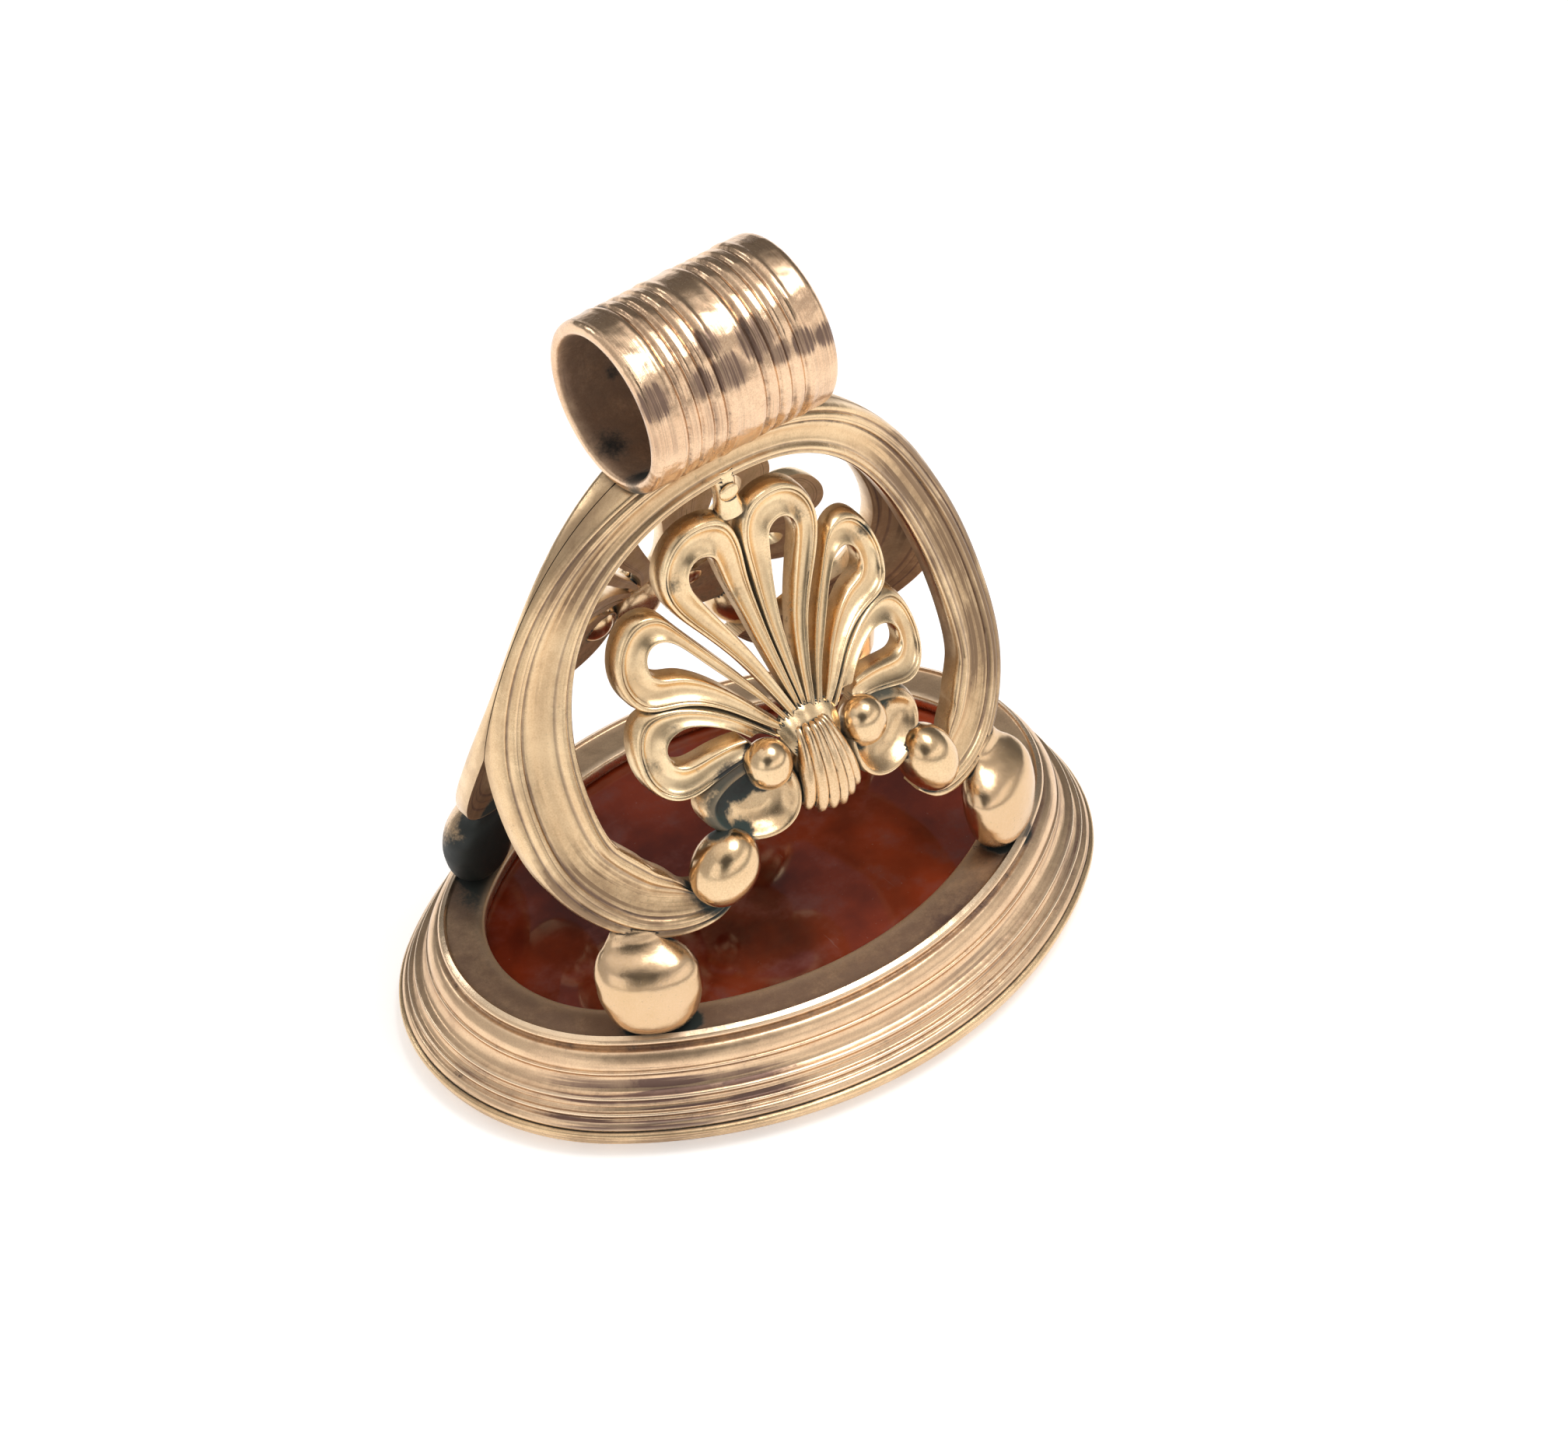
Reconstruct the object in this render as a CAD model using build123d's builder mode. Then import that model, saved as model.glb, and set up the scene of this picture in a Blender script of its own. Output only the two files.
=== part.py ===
"""Fob seal: an oval carnelian in a moulded gold base, under two pierced palmette panels and a reeded bail.

Millimetres, +Z up, origin on the floor under the middle of the stone's flat face. X is the oval's long
axis and the bail's axis. The front panel faces -Y and the back panel is the same, turned half way round.
"""
import os
from math import atan2, cos, degrees, hypot, radians, sin

from build123d import *

# Stone opening in the ledge, an oval of four arcs
OPENING_LONG = 9.37
OPENING_SHORT = 6.35
OPENING_END_RADIUS = 4.6

# Heights of the base, from the floor up
STONE_PROUD = 0.35
SEAM_HEIGHT = 0.98
WIDEST_HEIGHT = 0.8
LEDGE_HEIGHT = 3.6
LEDGE_THICKNESS = 0.45
BEAD_RISE = 0.1
LIP_RISE = 0.1
LIP_FALL = 0.12

# Reaches of the base, outwards from the opening's edge
LEDGE_REACH = 1.3
RIM_REACH = 1.42
SEAM_REACH = 2.98
WIDEST_REACH = 3.13
CAVITY_TOP_REACH = 1.0
CAVITY_FOOT_REACH = 2.2
RIM_LIP_REACH = 1.95
BEAD_SLOPE = 0.03
LIP_SLOPE = 0.1
LIP_CHAMFER = 0.3

# Clearances
SETTING_GAP = 0.08
SEAM_GAP = 0.05
FOOT_GAP = 0.05

# Stone
STONE_BEVEL_HEIGHT = 0.7
STONE_BEVEL_WIDTH = 0.55

# Horseshoe band
ARCH_TOP = 21.75
ARCH_HALF_WIDTH = 9.4
ARCH_FOOT_HEIGHT = 6.6
ARCH_BAND = 2.4

# Panel wall: a bowed sheet whose middle stands forward by a depth that falls with height, and which
# reaches past the band on all sides
PANEL_THICKNESS = 0.8
PANEL_BOW_FALL = 2.835
PANEL_PAST_SIDES = 0.8
PANEL_PAST_FOOT = 1.6
PANEL_PAST_TOP = 0.65
PANEL_FOOT_DEPTH = 6.35
PANEL_RELIEF = 0.22

# Palmette wall: the same kind of sheet, fuller in the middle
PALMETTE_HALF_WIDTH = 6.4
PALMETTE_FULLNESS = 1.05
PALMETTE_RELIEF = 0.2

# Palmette
FAN_HEIGHT = 11.6
LOBE_RADIUS = 1.5
LOBE_HOLE_RADIUS = 0.47
LOBE_RIM = 0.26
LOBE_LIP = 0.14
LOBE_ROOT = 1.0
LOBE_ROOT_RADIUS = 0.26
HOLE_ROOT = 1.35
HOLE_ROOT_RADIUS = 0.07
CHANNEL_ROOT = 2.3
CHANNEL_ROOT_RADIUS = 0.17
TAB_WIDTH = 1.1

# Scrolls, balls and wrap
SCROLL_RADIUS = 1.5
SCROLL_ACROSS = 2.75
SCROLL_HEIGHT = 10.6
SCROLL_RIM = 0.32
END_BALL_RADIUS = 1.2
END_BALL_OUT = 0.633
END_BALL_UP = 1.264
END_BALL_PROUD = 0.688
SMALL_BALL_RADIUS = 0.8
SMALL_BALL_ACROSS = 1.9
SMALL_BALL_HEIGHT = 11.75
SMALL_BALL_PROUD = 0.419
WRAP_RIBS = 5
WRAP_PITCH = 0.42
WRAP_RIB_RISE = 0.2
WRAP_RADIUS = 1.1
WRAP_HEIGHT = 10.9
WRAP_SUNK = 0.8

# Feet, which stand on the ledge under the lowest part of the band and run up into it
FOOT_SHARE_ACROSS = 0.7553
FOOT_REACH = 0.72
FOOT_INTO_BAND = 0.8
FOOT_SUNK = 0.23
FOOT_HALF_WIDTH = 1.5
FOOT_HALF_DEPTH = 0.85
PEG_RADIUS = 0.35
PEG_LENGTH = 0.38
PEG_CLEARANCE = 0.06

# Bail, sunk into the top of the band
BAIL_SUNK = 0.67
BAIL_BORE_RADIUS = 2.49
BAIL_WALL = 0.5
BAIL_LENGTH = 7.0
BAIL_LIP_ROUND = 0.14
GROOVES_PER_GROUP = 4
GROOVE_PITCH = 0.49
GROOVE_START = 0.75
GROOVE_WIDTH = 0.24
GROOVE_DEPTH = 0.12

# Depth of the panel's middle at each level, as shares of its height and of its depth at the foot
PANEL_LEVELS = [
    # height, depth
    (-0.06, 1.00),
    (0.07, 0.965),
    (0.24, 0.830),
    (0.43, 0.590),
    (0.60, 0.394),
    (0.75, 0.275),
    (0.95, 0.173),
    (1.08, 0.135),
]

# How far the palmette's middle stands in front of the panel at each level, a share of its fullness
PALMETTE_LEVELS = [
    # height, fullness
    (0.17, 0.62),
    (0.345, 0.90),
    (0.43, 0.78),
    (0.57, 0.20),
    (0.69, 0.00),
    (0.95, 0.00),
]

# Outer edge of the right half of the band, from its top to its curled end, as shares of the half width
# and of the height over the band's foot, with the width of the band there
ARCH_EDGE = [
    # across, up, width
    (0.000, 1.000, 0.66),
    (0.266, 0.974, 0.64),
    (0.521, 0.891, 0.66),
    (0.745, 0.749, 0.73),
    (0.894, 0.587, 0.83),
    (0.979, 0.436, 0.94),
    (1.000, 0.290, 1.00),
    (0.968, 0.165, 1.06),
    (0.878, 0.076, 1.10),
    (0.745, 0.017, 1.06),
    (0.596, 0.000, 0.94),
    (0.457, 0.023, 0.66),
    (0.372, 0.075, 0.30),
]

# Grooves of the band, as shares across it from the outer edge
ARCH_GROOVES = [
    # start, end
    (0.13, 0.19),
    (0.33, 0.84),
]

# Far end of each right-hand lobe: distance from the fan's centre, bearing from the X axis, size
LOBES = [
    # distance, bearing, size
    (4.45, 13.0, 0.92),
    (5.65, 45.5, 1.0),
    (6.30, 77.0, 0.98),
]

# Foot, from the ledge up: height as a share of its own, half width and half depth as shares
FOOT_LEVELS = [
    # up, width, depth
    (0.00, 0.55, 0.60),
    (0.13, 0.83, 0.85),
    (0.42, 1.00, 1.00),
    (0.72, 0.97, 0.93),
    (0.86, 0.74, 0.75),
    (1.00, 0.70, 0.55),
]

# Slope of the base moulding: share of the way down from the rim to the seam, and rise off the slope
MOULDING = [
    # down, rise
    (0.035, 0.07),
    (0.075, 0.00),
    (0.085, -0.10),
    (0.110, -0.12),
    (0.125, -0.02),
    (0.230, 0.10),
    (0.335, 0.09),
    (0.365, 0.02),
    (0.460, -0.12),
    (0.560, -0.09),
    (0.620, 0.06),
    (0.680, 0.05),
    (0.705, -0.05),
    (0.770, -0.07),
    (0.815, 0.05),
    (0.865, 0.03),
    (0.880, -0.05),
    (0.905, -0.05),
    (0.920, 0.03),
    (1.000, 0.02),
]

PANEL_HALF_WIDTH = ARCH_HALF_WIDTH + PANEL_PAST_SIDES
PANEL_FOOT_HEIGHT = ARCH_FOOT_HEIGHT - PANEL_PAST_FOOT
PANEL_HEIGHT = ARCH_TOP + PANEL_PAST_TOP - PANEL_FOOT_HEIGHT
PANEL_BOW_RADIUS = (ARCH_HALF_WIDTH**2 + PANEL_BOW_FALL**2) / (2 * PANEL_BOW_FALL)
BAIL_HEIGHT = ARCH_TOP + BAIL_BORE_RADIUS + BAIL_WALL - BAIL_SUNK
END_BALL_ACROSS = ARCH_EDGE[-1][0] * ARCH_HALF_WIDTH + END_BALL_OUT
END_BALL_HEIGHT = ARCH_FOOT_HEIGHT + ARCH_EDGE[-1][1] * (ARCH_TOP - ARCH_FOOT_HEIGHT) + END_BALL_UP
FOOT_ACROSS = FOOT_SHARE_ACROSS * ARCH_HALF_WIDTH
FOOT_TOP_HEIGHT = ARCH_FOOT_HEIGHT + FOOT_INTO_BAND
SIDE_RADIUS = ((OPENING_LONG - OPENING_END_RADIUS) ** 2 + OPENING_SHORT**2 - OPENING_END_RADIUS**2) / (
    2 * (OPENING_SHORT - OPENING_END_RADIUS)
)
END_CENTRE = OPENING_LONG - OPENING_END_RADIUS
SIDE_CENTRE = SIDE_RADIUS - OPENING_SHORT
ARC_JOIN = degrees(atan2(SIDE_CENTRE, END_CENTRE))


def oval_arcs():
    """The four arcs of the opening: centre, radius, first bearing and sweep."""
    return [
        (END_CENTRE, 0, OPENING_END_RADIUS, -ARC_JOIN, 2 * ARC_JOIN),
        (0, -SIDE_CENTRE, SIDE_RADIUS, ARC_JOIN, 180 - 2 * ARC_JOIN),
        (-END_CENTRE, 0, OPENING_END_RADIUS, 180 - ARC_JOIN, 2 * ARC_JOIN),
        (0, SIDE_CENTRE, SIDE_RADIUS, 180 + ARC_JOIN, 180 - 2 * ARC_JOIN),
    ]


def oval_ring(profile):
    """A ring of one profile, given as reach from the opening and height, swept round the oval."""
    with BuildPart() as ring:
        for centre_x, centre_y, radius, bearing, sweep_angle in oval_arcs():
            outward = (cos(radians(bearing)), sin(radians(bearing)), 0)
            section = Plane(origin=(centre_x, centre_y, 0), x_dir=outward, z_dir=(outward[1], -outward[0], 0))
            with BuildSketch(section):
                with BuildLine():
                    Polyline([(radius + reach, height) for reach, height in profile], close=True)
                make_face()
            revolve(axis=Axis((centre_x, centre_y, 0), (0, 0, 1)), revolution_arc=sweep_angle)
    return ring.part


def oval_outline(reach):
    """The closed oval of four arcs that lies a given reach outside the opening."""
    with BuildLine() as outline:
        for centre_x, centre_y, radius, bearing, sweep_angle in oval_arcs():
            CenterArc((centre_x, centre_y), radius + reach, bearing, sweep_angle)
    return outline.wires()[0]


def moulding_slope():
    """Points down the moulded slope, from the rim to the seam."""
    run = SEAM_REACH - RIM_REACH
    fall = LEDGE_HEIGHT - SEAM_HEIGHT
    length = hypot(run, fall)
    return [
        (RIM_REACH + down * run + rise * fall / length, LEDGE_HEIGHT - down * fall + rise * run / length)
        for down, rise in MOULDING
    ]


def ledge_depth(across, reach):
    """Distance from the long axis of a point on the ledge, a given reach outside the opening."""
    if across < (SIDE_RADIUS + reach) * cos(radians(ARC_JOIN)):
        return ((SIDE_RADIUS + reach) ** 2 - across**2) ** 0.5 - SIDE_CENTRE
    return ((OPENING_END_RADIUS + reach) ** 2 - (across - END_CENTRE) ** 2) ** 0.5


def panel_depth(share):
    """Depth of the panel's middle at a share of its height, read between the levels of the table."""
    for (low, low_depth), (high, high_depth) in zip(PANEL_LEVELS, PANEL_LEVELS[1:]):
        if share <= high:
            break
    return PANEL_FOOT_DEPTH * (low_depth + (high_depth - low_depth) * (share - low) / (high - low))


def bowed_sheet(levels, half_width, front, back):
    """A sheet between two bowed faces. Levels give height, depth at the middle and depth at the sides."""
    with BuildPart() as sheet:
        for height, middle, side in levels:
            with BuildSketch(Plane.XY.offset(height)):
                with BuildLine():
                    ThreePointArc(
                        (-half_width, front - side), (0, front - middle), (half_width, front - side)
                    )
                    Line((half_width, front - side), (half_width, back - side))
                    ThreePointArc((half_width, back - side), (0, back - middle), (-half_width, back - side))
                    Line((-half_width, back - side), (-half_width, front - side))
                make_face()
        loft()
    return sheet.part


def bow(across):
    """How far the panel falls back at a distance from its middle."""
    return PANEL_BOW_RADIUS - (PANEL_BOW_RADIUS**2 - across**2) ** 0.5


def depth_of_panel(across, height):
    """Depth of the panel's front face at a point of its elevation."""
    return panel_depth((height - PANEL_FOOT_HEIGHT) / PANEL_HEIGHT) - bow(across)


def depth_of_palmette(across, height):
    """Depth of the palmette's front face at a point of its elevation."""
    share = (height - PANEL_FOOT_HEIGHT) / PANEL_HEIGHT
    for (low, low_full), (high, high_full) in zip(PALMETTE_LEVELS, PALMETTE_LEVELS[1:]):
        if share <= high:
            break
    fullness = low_full + (high_full - low_full) * (share - low) / (high - low)
    swell = fullness * PALMETTE_FULLNESS * (1 - (across / PALMETTE_HALF_WIDTH) ** 2)
    return depth_of_panel(across, height) + swell


def panel_sheet(front, back):
    """The panel's wall between two offsets behind its front face."""
    rows = [(share, PANEL_FOOT_DEPTH * depth) for share, depth in PANEL_LEVELS]
    fall = bow(PANEL_HALF_WIDTH)
    levels = [(PANEL_FOOT_HEIGHT + share * PANEL_HEIGHT, depth, depth - fall) for share, depth in rows]
    return bowed_sheet(levels, PANEL_HALF_WIDTH, front, back)


def palmette_sheet(front, back):
    """The palmette's wall between two offsets behind its front face."""
    fall = bow(PALMETTE_HALF_WIDTH)
    levels = []
    for share, fullness in PALMETTE_LEVELS:
        depth = panel_depth(share)
        levels.append(
            (PANEL_FOOT_HEIGHT + share * PANEL_HEIGHT, depth + fullness * PALMETTE_FULLNESS, depth - fall)
        )
    return bowed_sheet(levels, PALMETTE_HALF_WIDTH, front, back)


def band_curve(share, rows):
    """Points along the right half of the band at a share of its width in from the outer edge."""
    rise = ARCH_TOP - ARCH_FOOT_HEIGHT
    edge = [(across * ARCH_HALF_WIDTH, ARCH_FOOT_HEIGHT + up * rise) for across, up, _ in ARCH_EDGE]
    before = [(-edge[1][0], edge[1][1])] + edge[:-1]
    after = edge[1:] + [edge[-1]]
    points = []
    for (x, z), (x0, z0), (x1, z1), (_, _, width) in zip(edge, before, after, ARCH_EDGE):
        step = share * width * ARCH_BAND / hypot(x1 - x0, z1 - z0)
        points.append((x + step * (z1 - z0), z - step * (x1 - x0)))
    return points[:rows]


def band_face(start, end, rows=len(ARCH_EDGE)):
    """The flat face of the horseshoe between two shares of its width."""
    with BuildSketch(Plane.XZ) as face:
        with BuildLine():
            ends = []
            for share in (start, end):
                right = band_curve(share, rows)
                left = [(-x, z) for x, z in reversed(right[1:])]
                Spline(left + right)
                ends.append((left[0], right[-1]))
            Line(ends[0][0], ends[1][0])
            Line(ends[0][1], ends[1][1])
        make_face()
    return face.sketch


def lobe_face(far_radius, root, root_radius):
    """The flat faces of the six lobes, each a teardrop from the fan's centre."""
    with BuildSketch(Plane.XZ) as faces:
        for distance, bearing, size in LOBES:
            for angle in (bearing, 180 - bearing):
                way = (cos(radians(angle)), sin(radians(angle)))
                far = (way[0] * distance, FAN_HEIGHT + way[1] * distance)
                near = (way[0] * root, FAN_HEIGHT + way[1] * root)
                with BuildSketch(Plane.XZ, mode=Mode.PRIVATE) as lobe:
                    with Locations(far):
                        Circle(far_radius * size)
                    with Locations(near):
                        Circle(root_radius)
                    make_hull()
                add(lobe.sketch)
    return faces.sketch


def raised(face, sheet):
    """The part of a sheet that lies in front of the middle plane and inside a flat face."""
    with BuildPart() as piece:
        add(sheet)
        with BuildSketch(Plane.XZ):
            add(face)
        extrude(amount=2 * PANEL_FOOT_DEPTH, mode=Mode.INTERSECT)
    return piece.part


def ball_pair(across, depth, height, radius):
    """A ball on both sides of the front panel's middle, each with its seam line facing forwards."""
    with BuildPart() as pair:
        with Locations((-across, -depth, height), (across, -depth, height)):
            Sphere(radius, rotation=(0, 0, -90))
    return pair.part


def arch():
    """The grooved horseshoe of the front panel."""
    band = raised(band_face(0, 1), panel_sheet(0, PANEL_THICKNESS))
    relief = panel_sheet(-PANEL_FOOT_DEPTH, PANEL_RELIEF)
    grooves = [raised(band_face(start, end, len(ARCH_EDGE) - 1), relief) for start, end in ARCH_GROOVES]
    with BuildPart() as piece:
        add(band)
        add(grooves, mode=Mode.SUBTRACT)
    return piece.part


def scroll_face(radius):
    """The flat faces of the two scrolls."""
    with BuildSketch(Plane.XZ) as faces:
        with Locations((-SCROLL_ACROSS, SCROLL_HEIGHT), (SCROLL_ACROSS, SCROLL_HEIGHT)):
            Circle(radius)
    return faces.sketch


def palmette():
    """The pierced and channelled fan of the front panel, with its scrolls and its tab."""
    lobes = lobe_face(LOBE_RADIUS, LOBE_ROOT, LOBE_ROOT_RADIUS)
    holes = lobe_face(LOBE_HOLE_RADIUS, HOLE_ROOT, HOLE_ROOT_RADIUS)
    scrolls = scroll_face(SCROLL_RADIUS)
    channel_edges = lobe_face(LOBE_RADIUS - LOBE_RIM, CHANNEL_ROOT, CHANNEL_ROOT_RADIUS)
    lips = lobe_face(LOBE_HOLE_RADIUS + LOBE_LIP, HOLE_ROOT, HOLE_ROOT_RADIUS + LOBE_LIP)
    fan_top = FAN_HEIGHT + LOBES[-1][0]
    with BuildSketch(Plane.XZ) as outline:
        add([lobes, scrolls])
        with Locations((0, FAN_HEIGHT)):
            Circle(LOBE_ROOT + LOBE_ROOT_RADIUS)
        with Locations((0, (ARCH_TOP + fan_top) / 2)):
            Rectangle(TAB_WIDTH, ARCH_TOP - fan_top)
        add(holes, mode=Mode.SUBTRACT)
    with BuildSketch(Plane.XZ) as channels:
        add(channel_edges)
        add(lips, mode=Mode.SUBTRACT)
    wall = raised(outline.sketch, palmette_sheet(0, PANEL_THICKNESS))
    relief = palmette_sheet(-PANEL_FOOT_DEPTH, PALMETTE_RELIEF)
    hollows = [raised(face, relief) for face in (channels.sketch, scroll_face(SCROLL_RADIUS - SCROLL_RIM))]
    with BuildPart() as piece:
        add(wall)
        add(hollows, mode=Mode.SUBTRACT)
    return piece.part


def wrap():
    """The ribbed binding that passes round the root of the fan."""
    depth = depth_of_palmette(0, WRAP_HEIGHT) - WRAP_SUNK
    front = -depth - WRAP_RADIUS
    half = WRAP_RIBS * WRAP_PITCH / 2
    with BuildPart() as piece:
        with BuildSketch(Plane.XY.offset(WRAP_HEIGHT)):
            with BuildLine():
                Polyline((half, front), (half, -depth), (-half, -depth), (-half, front))
                for rib in range(WRAP_RIBS):
                    start = rib * WRAP_PITCH - half
                    ThreePointArc(
                        (start, front),
                        (start + WRAP_PITCH / 2, front - WRAP_RIB_RISE),
                        (start + WRAP_PITCH, front),
                    )
            make_face()
        revolve(axis=Axis((0, -depth, WRAP_HEIGHT), (1, 0, 0)))
    return piece.part


def foot():
    """The right-hand foot of the front panel, with its peg."""
    rise = FOOT_TOP_HEIGHT - LEDGE_HEIGHT - FOOT_GAP
    depth_at_ledge = ledge_depth(FOOT_ACROSS, FOOT_REACH)
    depth_at_top = depth_of_panel(FOOT_ACROSS, FOOT_TOP_HEIGHT) - FOOT_SUNK
    with BuildPart() as piece:
        for up, width, depth in FOOT_LEVELS:
            level = Plane.XY.offset(LEDGE_HEIGHT + FOOT_GAP + up * rise)
            middle = depth_at_ledge + up * (depth_at_top - depth_at_ledge)
            with BuildSketch(level):
                with Locations((FOOT_ACROSS, -middle)):
                    Ellipse(width * FOOT_HALF_WIDTH, depth * FOOT_HALF_DEPTH)
        loft()
        with BuildSketch(Plane.XY.offset(LEDGE_HEIGHT + 2 * FOOT_GAP - PEG_LENGTH)):
            with Locations((FOOT_ACROSS, -depth_at_ledge)):
                Circle(PEG_RADIUS)
        extrude(amount=PEG_LENGTH)
    return piece.part


def bail():
    """The tube, with two groups of turned grooves and rounded lips."""
    outer = BAIL_BORE_RADIUS + BAIL_WALL
    half = BAIL_LENGTH / 2
    profile = [(0, BAIL_BORE_RADIUS), (0, outer)]
    for groove in range(GROOVES_PER_GROUP):
        middle = GROOVE_START + groove * GROOVE_PITCH
        profile.append((middle - GROOVE_WIDTH / 2, outer))
        profile.append((middle, outer - GROOVE_DEPTH))
        profile.append((middle + GROOVE_WIDTH / 2, outer))
    profile.append((half - BAIL_LIP_ROUND, outer))
    profile.append((half, outer - BAIL_LIP_ROUND))
    profile.append((half, BAIL_BORE_RADIUS))
    with BuildPart() as tube:
        with BuildSketch(Plane.XZ):
            with BuildLine():
                Polyline([(x, BAIL_HEIGHT + radius) for x, radius in profile], close=True)
            make_face()
            mirror(about=Plane.YZ)
        revolve(axis=Axis((0, 0, BAIL_HEIGHT), (1, 0, 0)))
    return tube.part


os.makedirs("parts", exist_ok=True)

arch_part = arch()
palmette_part = palmette()
wrap_part = wrap()
end_ball_depth = depth_of_panel(END_BALL_ACROSS, END_BALL_HEIGHT) + END_BALL_PROUD
end_balls = ball_pair(END_BALL_ACROSS, end_ball_depth, END_BALL_HEIGHT, END_BALL_RADIUS)
small_ball_depth = depth_of_palmette(SMALL_BALL_ACROSS, SMALL_BALL_HEIGHT) + SMALL_BALL_PROUD
small_balls = ball_pair(SMALL_BALL_ACROSS, small_ball_depth, SMALL_BALL_HEIGHT, SMALL_BALL_RADIUS)
foot_part = foot()
bail_part = bail()

with BuildPart() as front_panel:
    add(arch_part)
    add(palmette_part)
    add([wrap_part, end_balls, small_balls, foot_part])
    mirror(foot_part, about=Plane.YZ)

with BuildPart() as openwork_top:
    add(front_panel.part)
    add([front_panel.part.rotate(Axis.Z, 180), bail_part])
    with BuildSketch(Plane.YZ):
        with Locations((0, BAIL_HEIGHT)):
            Circle(BAIL_BORE_RADIUS)
    extrude(amount=BAIL_LENGTH, both=True, mode=Mode.SUBTRACT)
openwork_top.part.label = "openwork_top"

base_outline = (
    [(0, LEDGE_HEIGHT), (LEDGE_REACH, LEDGE_HEIGHT), (LEDGE_REACH + BEAD_SLOPE, LEDGE_HEIGHT + BEAD_RISE)]
    + [(RIM_REACH, LEDGE_HEIGHT + BEAD_RISE)]
    + moulding_slope()
    + [(CAVITY_FOOT_REACH, SEAM_HEIGHT)]
    + [(CAVITY_TOP_REACH, LEDGE_HEIGHT - LEDGE_THICKNESS), (0, LEDGE_HEIGHT - LEDGE_THICKNESS)]
)
with BuildPart() as base_moulding:
    add(oval_ring(base_outline))
    with BuildSketch(Plane.XY.offset(LEDGE_HEIGHT)):
        with GridLocations(2 * FOOT_ACROSS, 2 * ledge_depth(FOOT_ACROSS, FOOT_REACH), 2, 2):
            Circle(PEG_RADIUS + PEG_CLEARANCE)
    extrude(amount=-LEDGE_THICKNESS, mode=Mode.SUBTRACT)
base_moulding.part.label = "base_moulding"

rim_outline = [
    (CAVITY_FOOT_REACH, SEAM_HEIGHT - SEAM_GAP),
    (SEAM_REACH, SEAM_HEIGHT - SEAM_GAP),
    (WIDEST_REACH, WIDEST_HEIGHT),
    (WIDEST_REACH, WIDEST_HEIGHT - LIP_FALL),
    (WIDEST_REACH - LIP_SLOPE, STONE_PROUD + LIP_RISE),
    (WIDEST_REACH - LIP_CHAMFER, STONE_PROUD),
    (RIM_LIP_REACH, STONE_PROUD),
    (CAVITY_FOOT_REACH, STONE_BEVEL_HEIGHT),
]
with BuildPart() as setting_rim:
    add(oval_ring(rim_outline))
setting_rim.part.label = "setting_rim"

stone_outline = [
    (CAVITY_FOOT_REACH - SETTING_GAP - STONE_BEVEL_WIDTH, 0),
    (CAVITY_FOOT_REACH - SETTING_GAP, STONE_BEVEL_HEIGHT),
    (CAVITY_FOOT_REACH - SETTING_GAP, SEAM_HEIGHT),
    (CAVITY_TOP_REACH - SETTING_GAP, LEDGE_HEIGHT - LEDGE_THICKNESS - SETTING_GAP),
]
with BuildPart() as seal_stone:
    for reach, height in stone_outline:
        with BuildSketch(Plane.XY.offset(height)):
            add(oval_outline(reach))
            make_face()
    loft(ruled=True)
seal_stone.part.label = "seal_stone"

for piece in (openwork_top, base_moulding, setting_rim, seal_stone):
    export_step(piece.part, f"parts/{piece.part.label}.step")
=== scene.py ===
"""Fob seal: a moulded gold base round an oval carnelian, two pierced panels and a tube bail.

Metres, +Z up, origin on the floor under the middle of the stone's flat face. X is the oval's long
axis and the bail's axis, and the front panel faces -Y. Sizes in the tables and fields below are in
millimetres, and angles in their fields are in degrees, unless a docstring says otherwise.
"""

import logging
import math
from collections.abc import Callable, Iterator, Sequence
from contextlib import contextmanager
from dataclasses import dataclass, field
from enum import Enum

import bpy
import numpy as np
from mathutils import Matrix, Vector
from mathutils.bvhtree import BVHTree


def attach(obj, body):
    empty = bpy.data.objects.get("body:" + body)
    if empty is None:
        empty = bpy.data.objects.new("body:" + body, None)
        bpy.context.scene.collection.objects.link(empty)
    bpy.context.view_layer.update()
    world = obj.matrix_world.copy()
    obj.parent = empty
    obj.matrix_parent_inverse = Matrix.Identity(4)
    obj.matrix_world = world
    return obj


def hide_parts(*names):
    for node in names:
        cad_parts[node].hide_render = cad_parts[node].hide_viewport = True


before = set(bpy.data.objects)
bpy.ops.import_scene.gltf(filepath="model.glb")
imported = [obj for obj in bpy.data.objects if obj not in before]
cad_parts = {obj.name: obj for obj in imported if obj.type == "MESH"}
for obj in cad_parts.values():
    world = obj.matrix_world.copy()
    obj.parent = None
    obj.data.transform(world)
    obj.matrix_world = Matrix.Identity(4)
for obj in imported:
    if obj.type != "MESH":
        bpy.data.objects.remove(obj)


LOG = logging.getLogger("fob_seal")
MM = 0.001
MERGE = 0.001  # how near vertices of one sheet lie to be merged, in millimetres
TINY = 1e-9  # keeps divisions away from zero
CURVE_STEPS = 40  # places read between two chosen points of a curve
RAYS, QUICK_RAYS = 20, 6  # rays cast from each vertex

Array = np.ndarray
Piece = bpy.types.Object
Row = tuple[float, ...]
Mix = tuple[tuple[str, float], ...]


class Slot(Enum):
    """The record's material slots."""

    OPENWORK = "openwork_gold"
    BASE = "base_gold"
    RIM = "rim_gold"
    STONE = "stone"

class Crease(Enum):
    """Edges sharper than these angles, in degrees, are shaded sharp."""

    CUT = 35.0
    TURNED = 45.0
    CAST = 50.0
    ROUND = 60.0


# ---- Curves through a few chosen points


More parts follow.
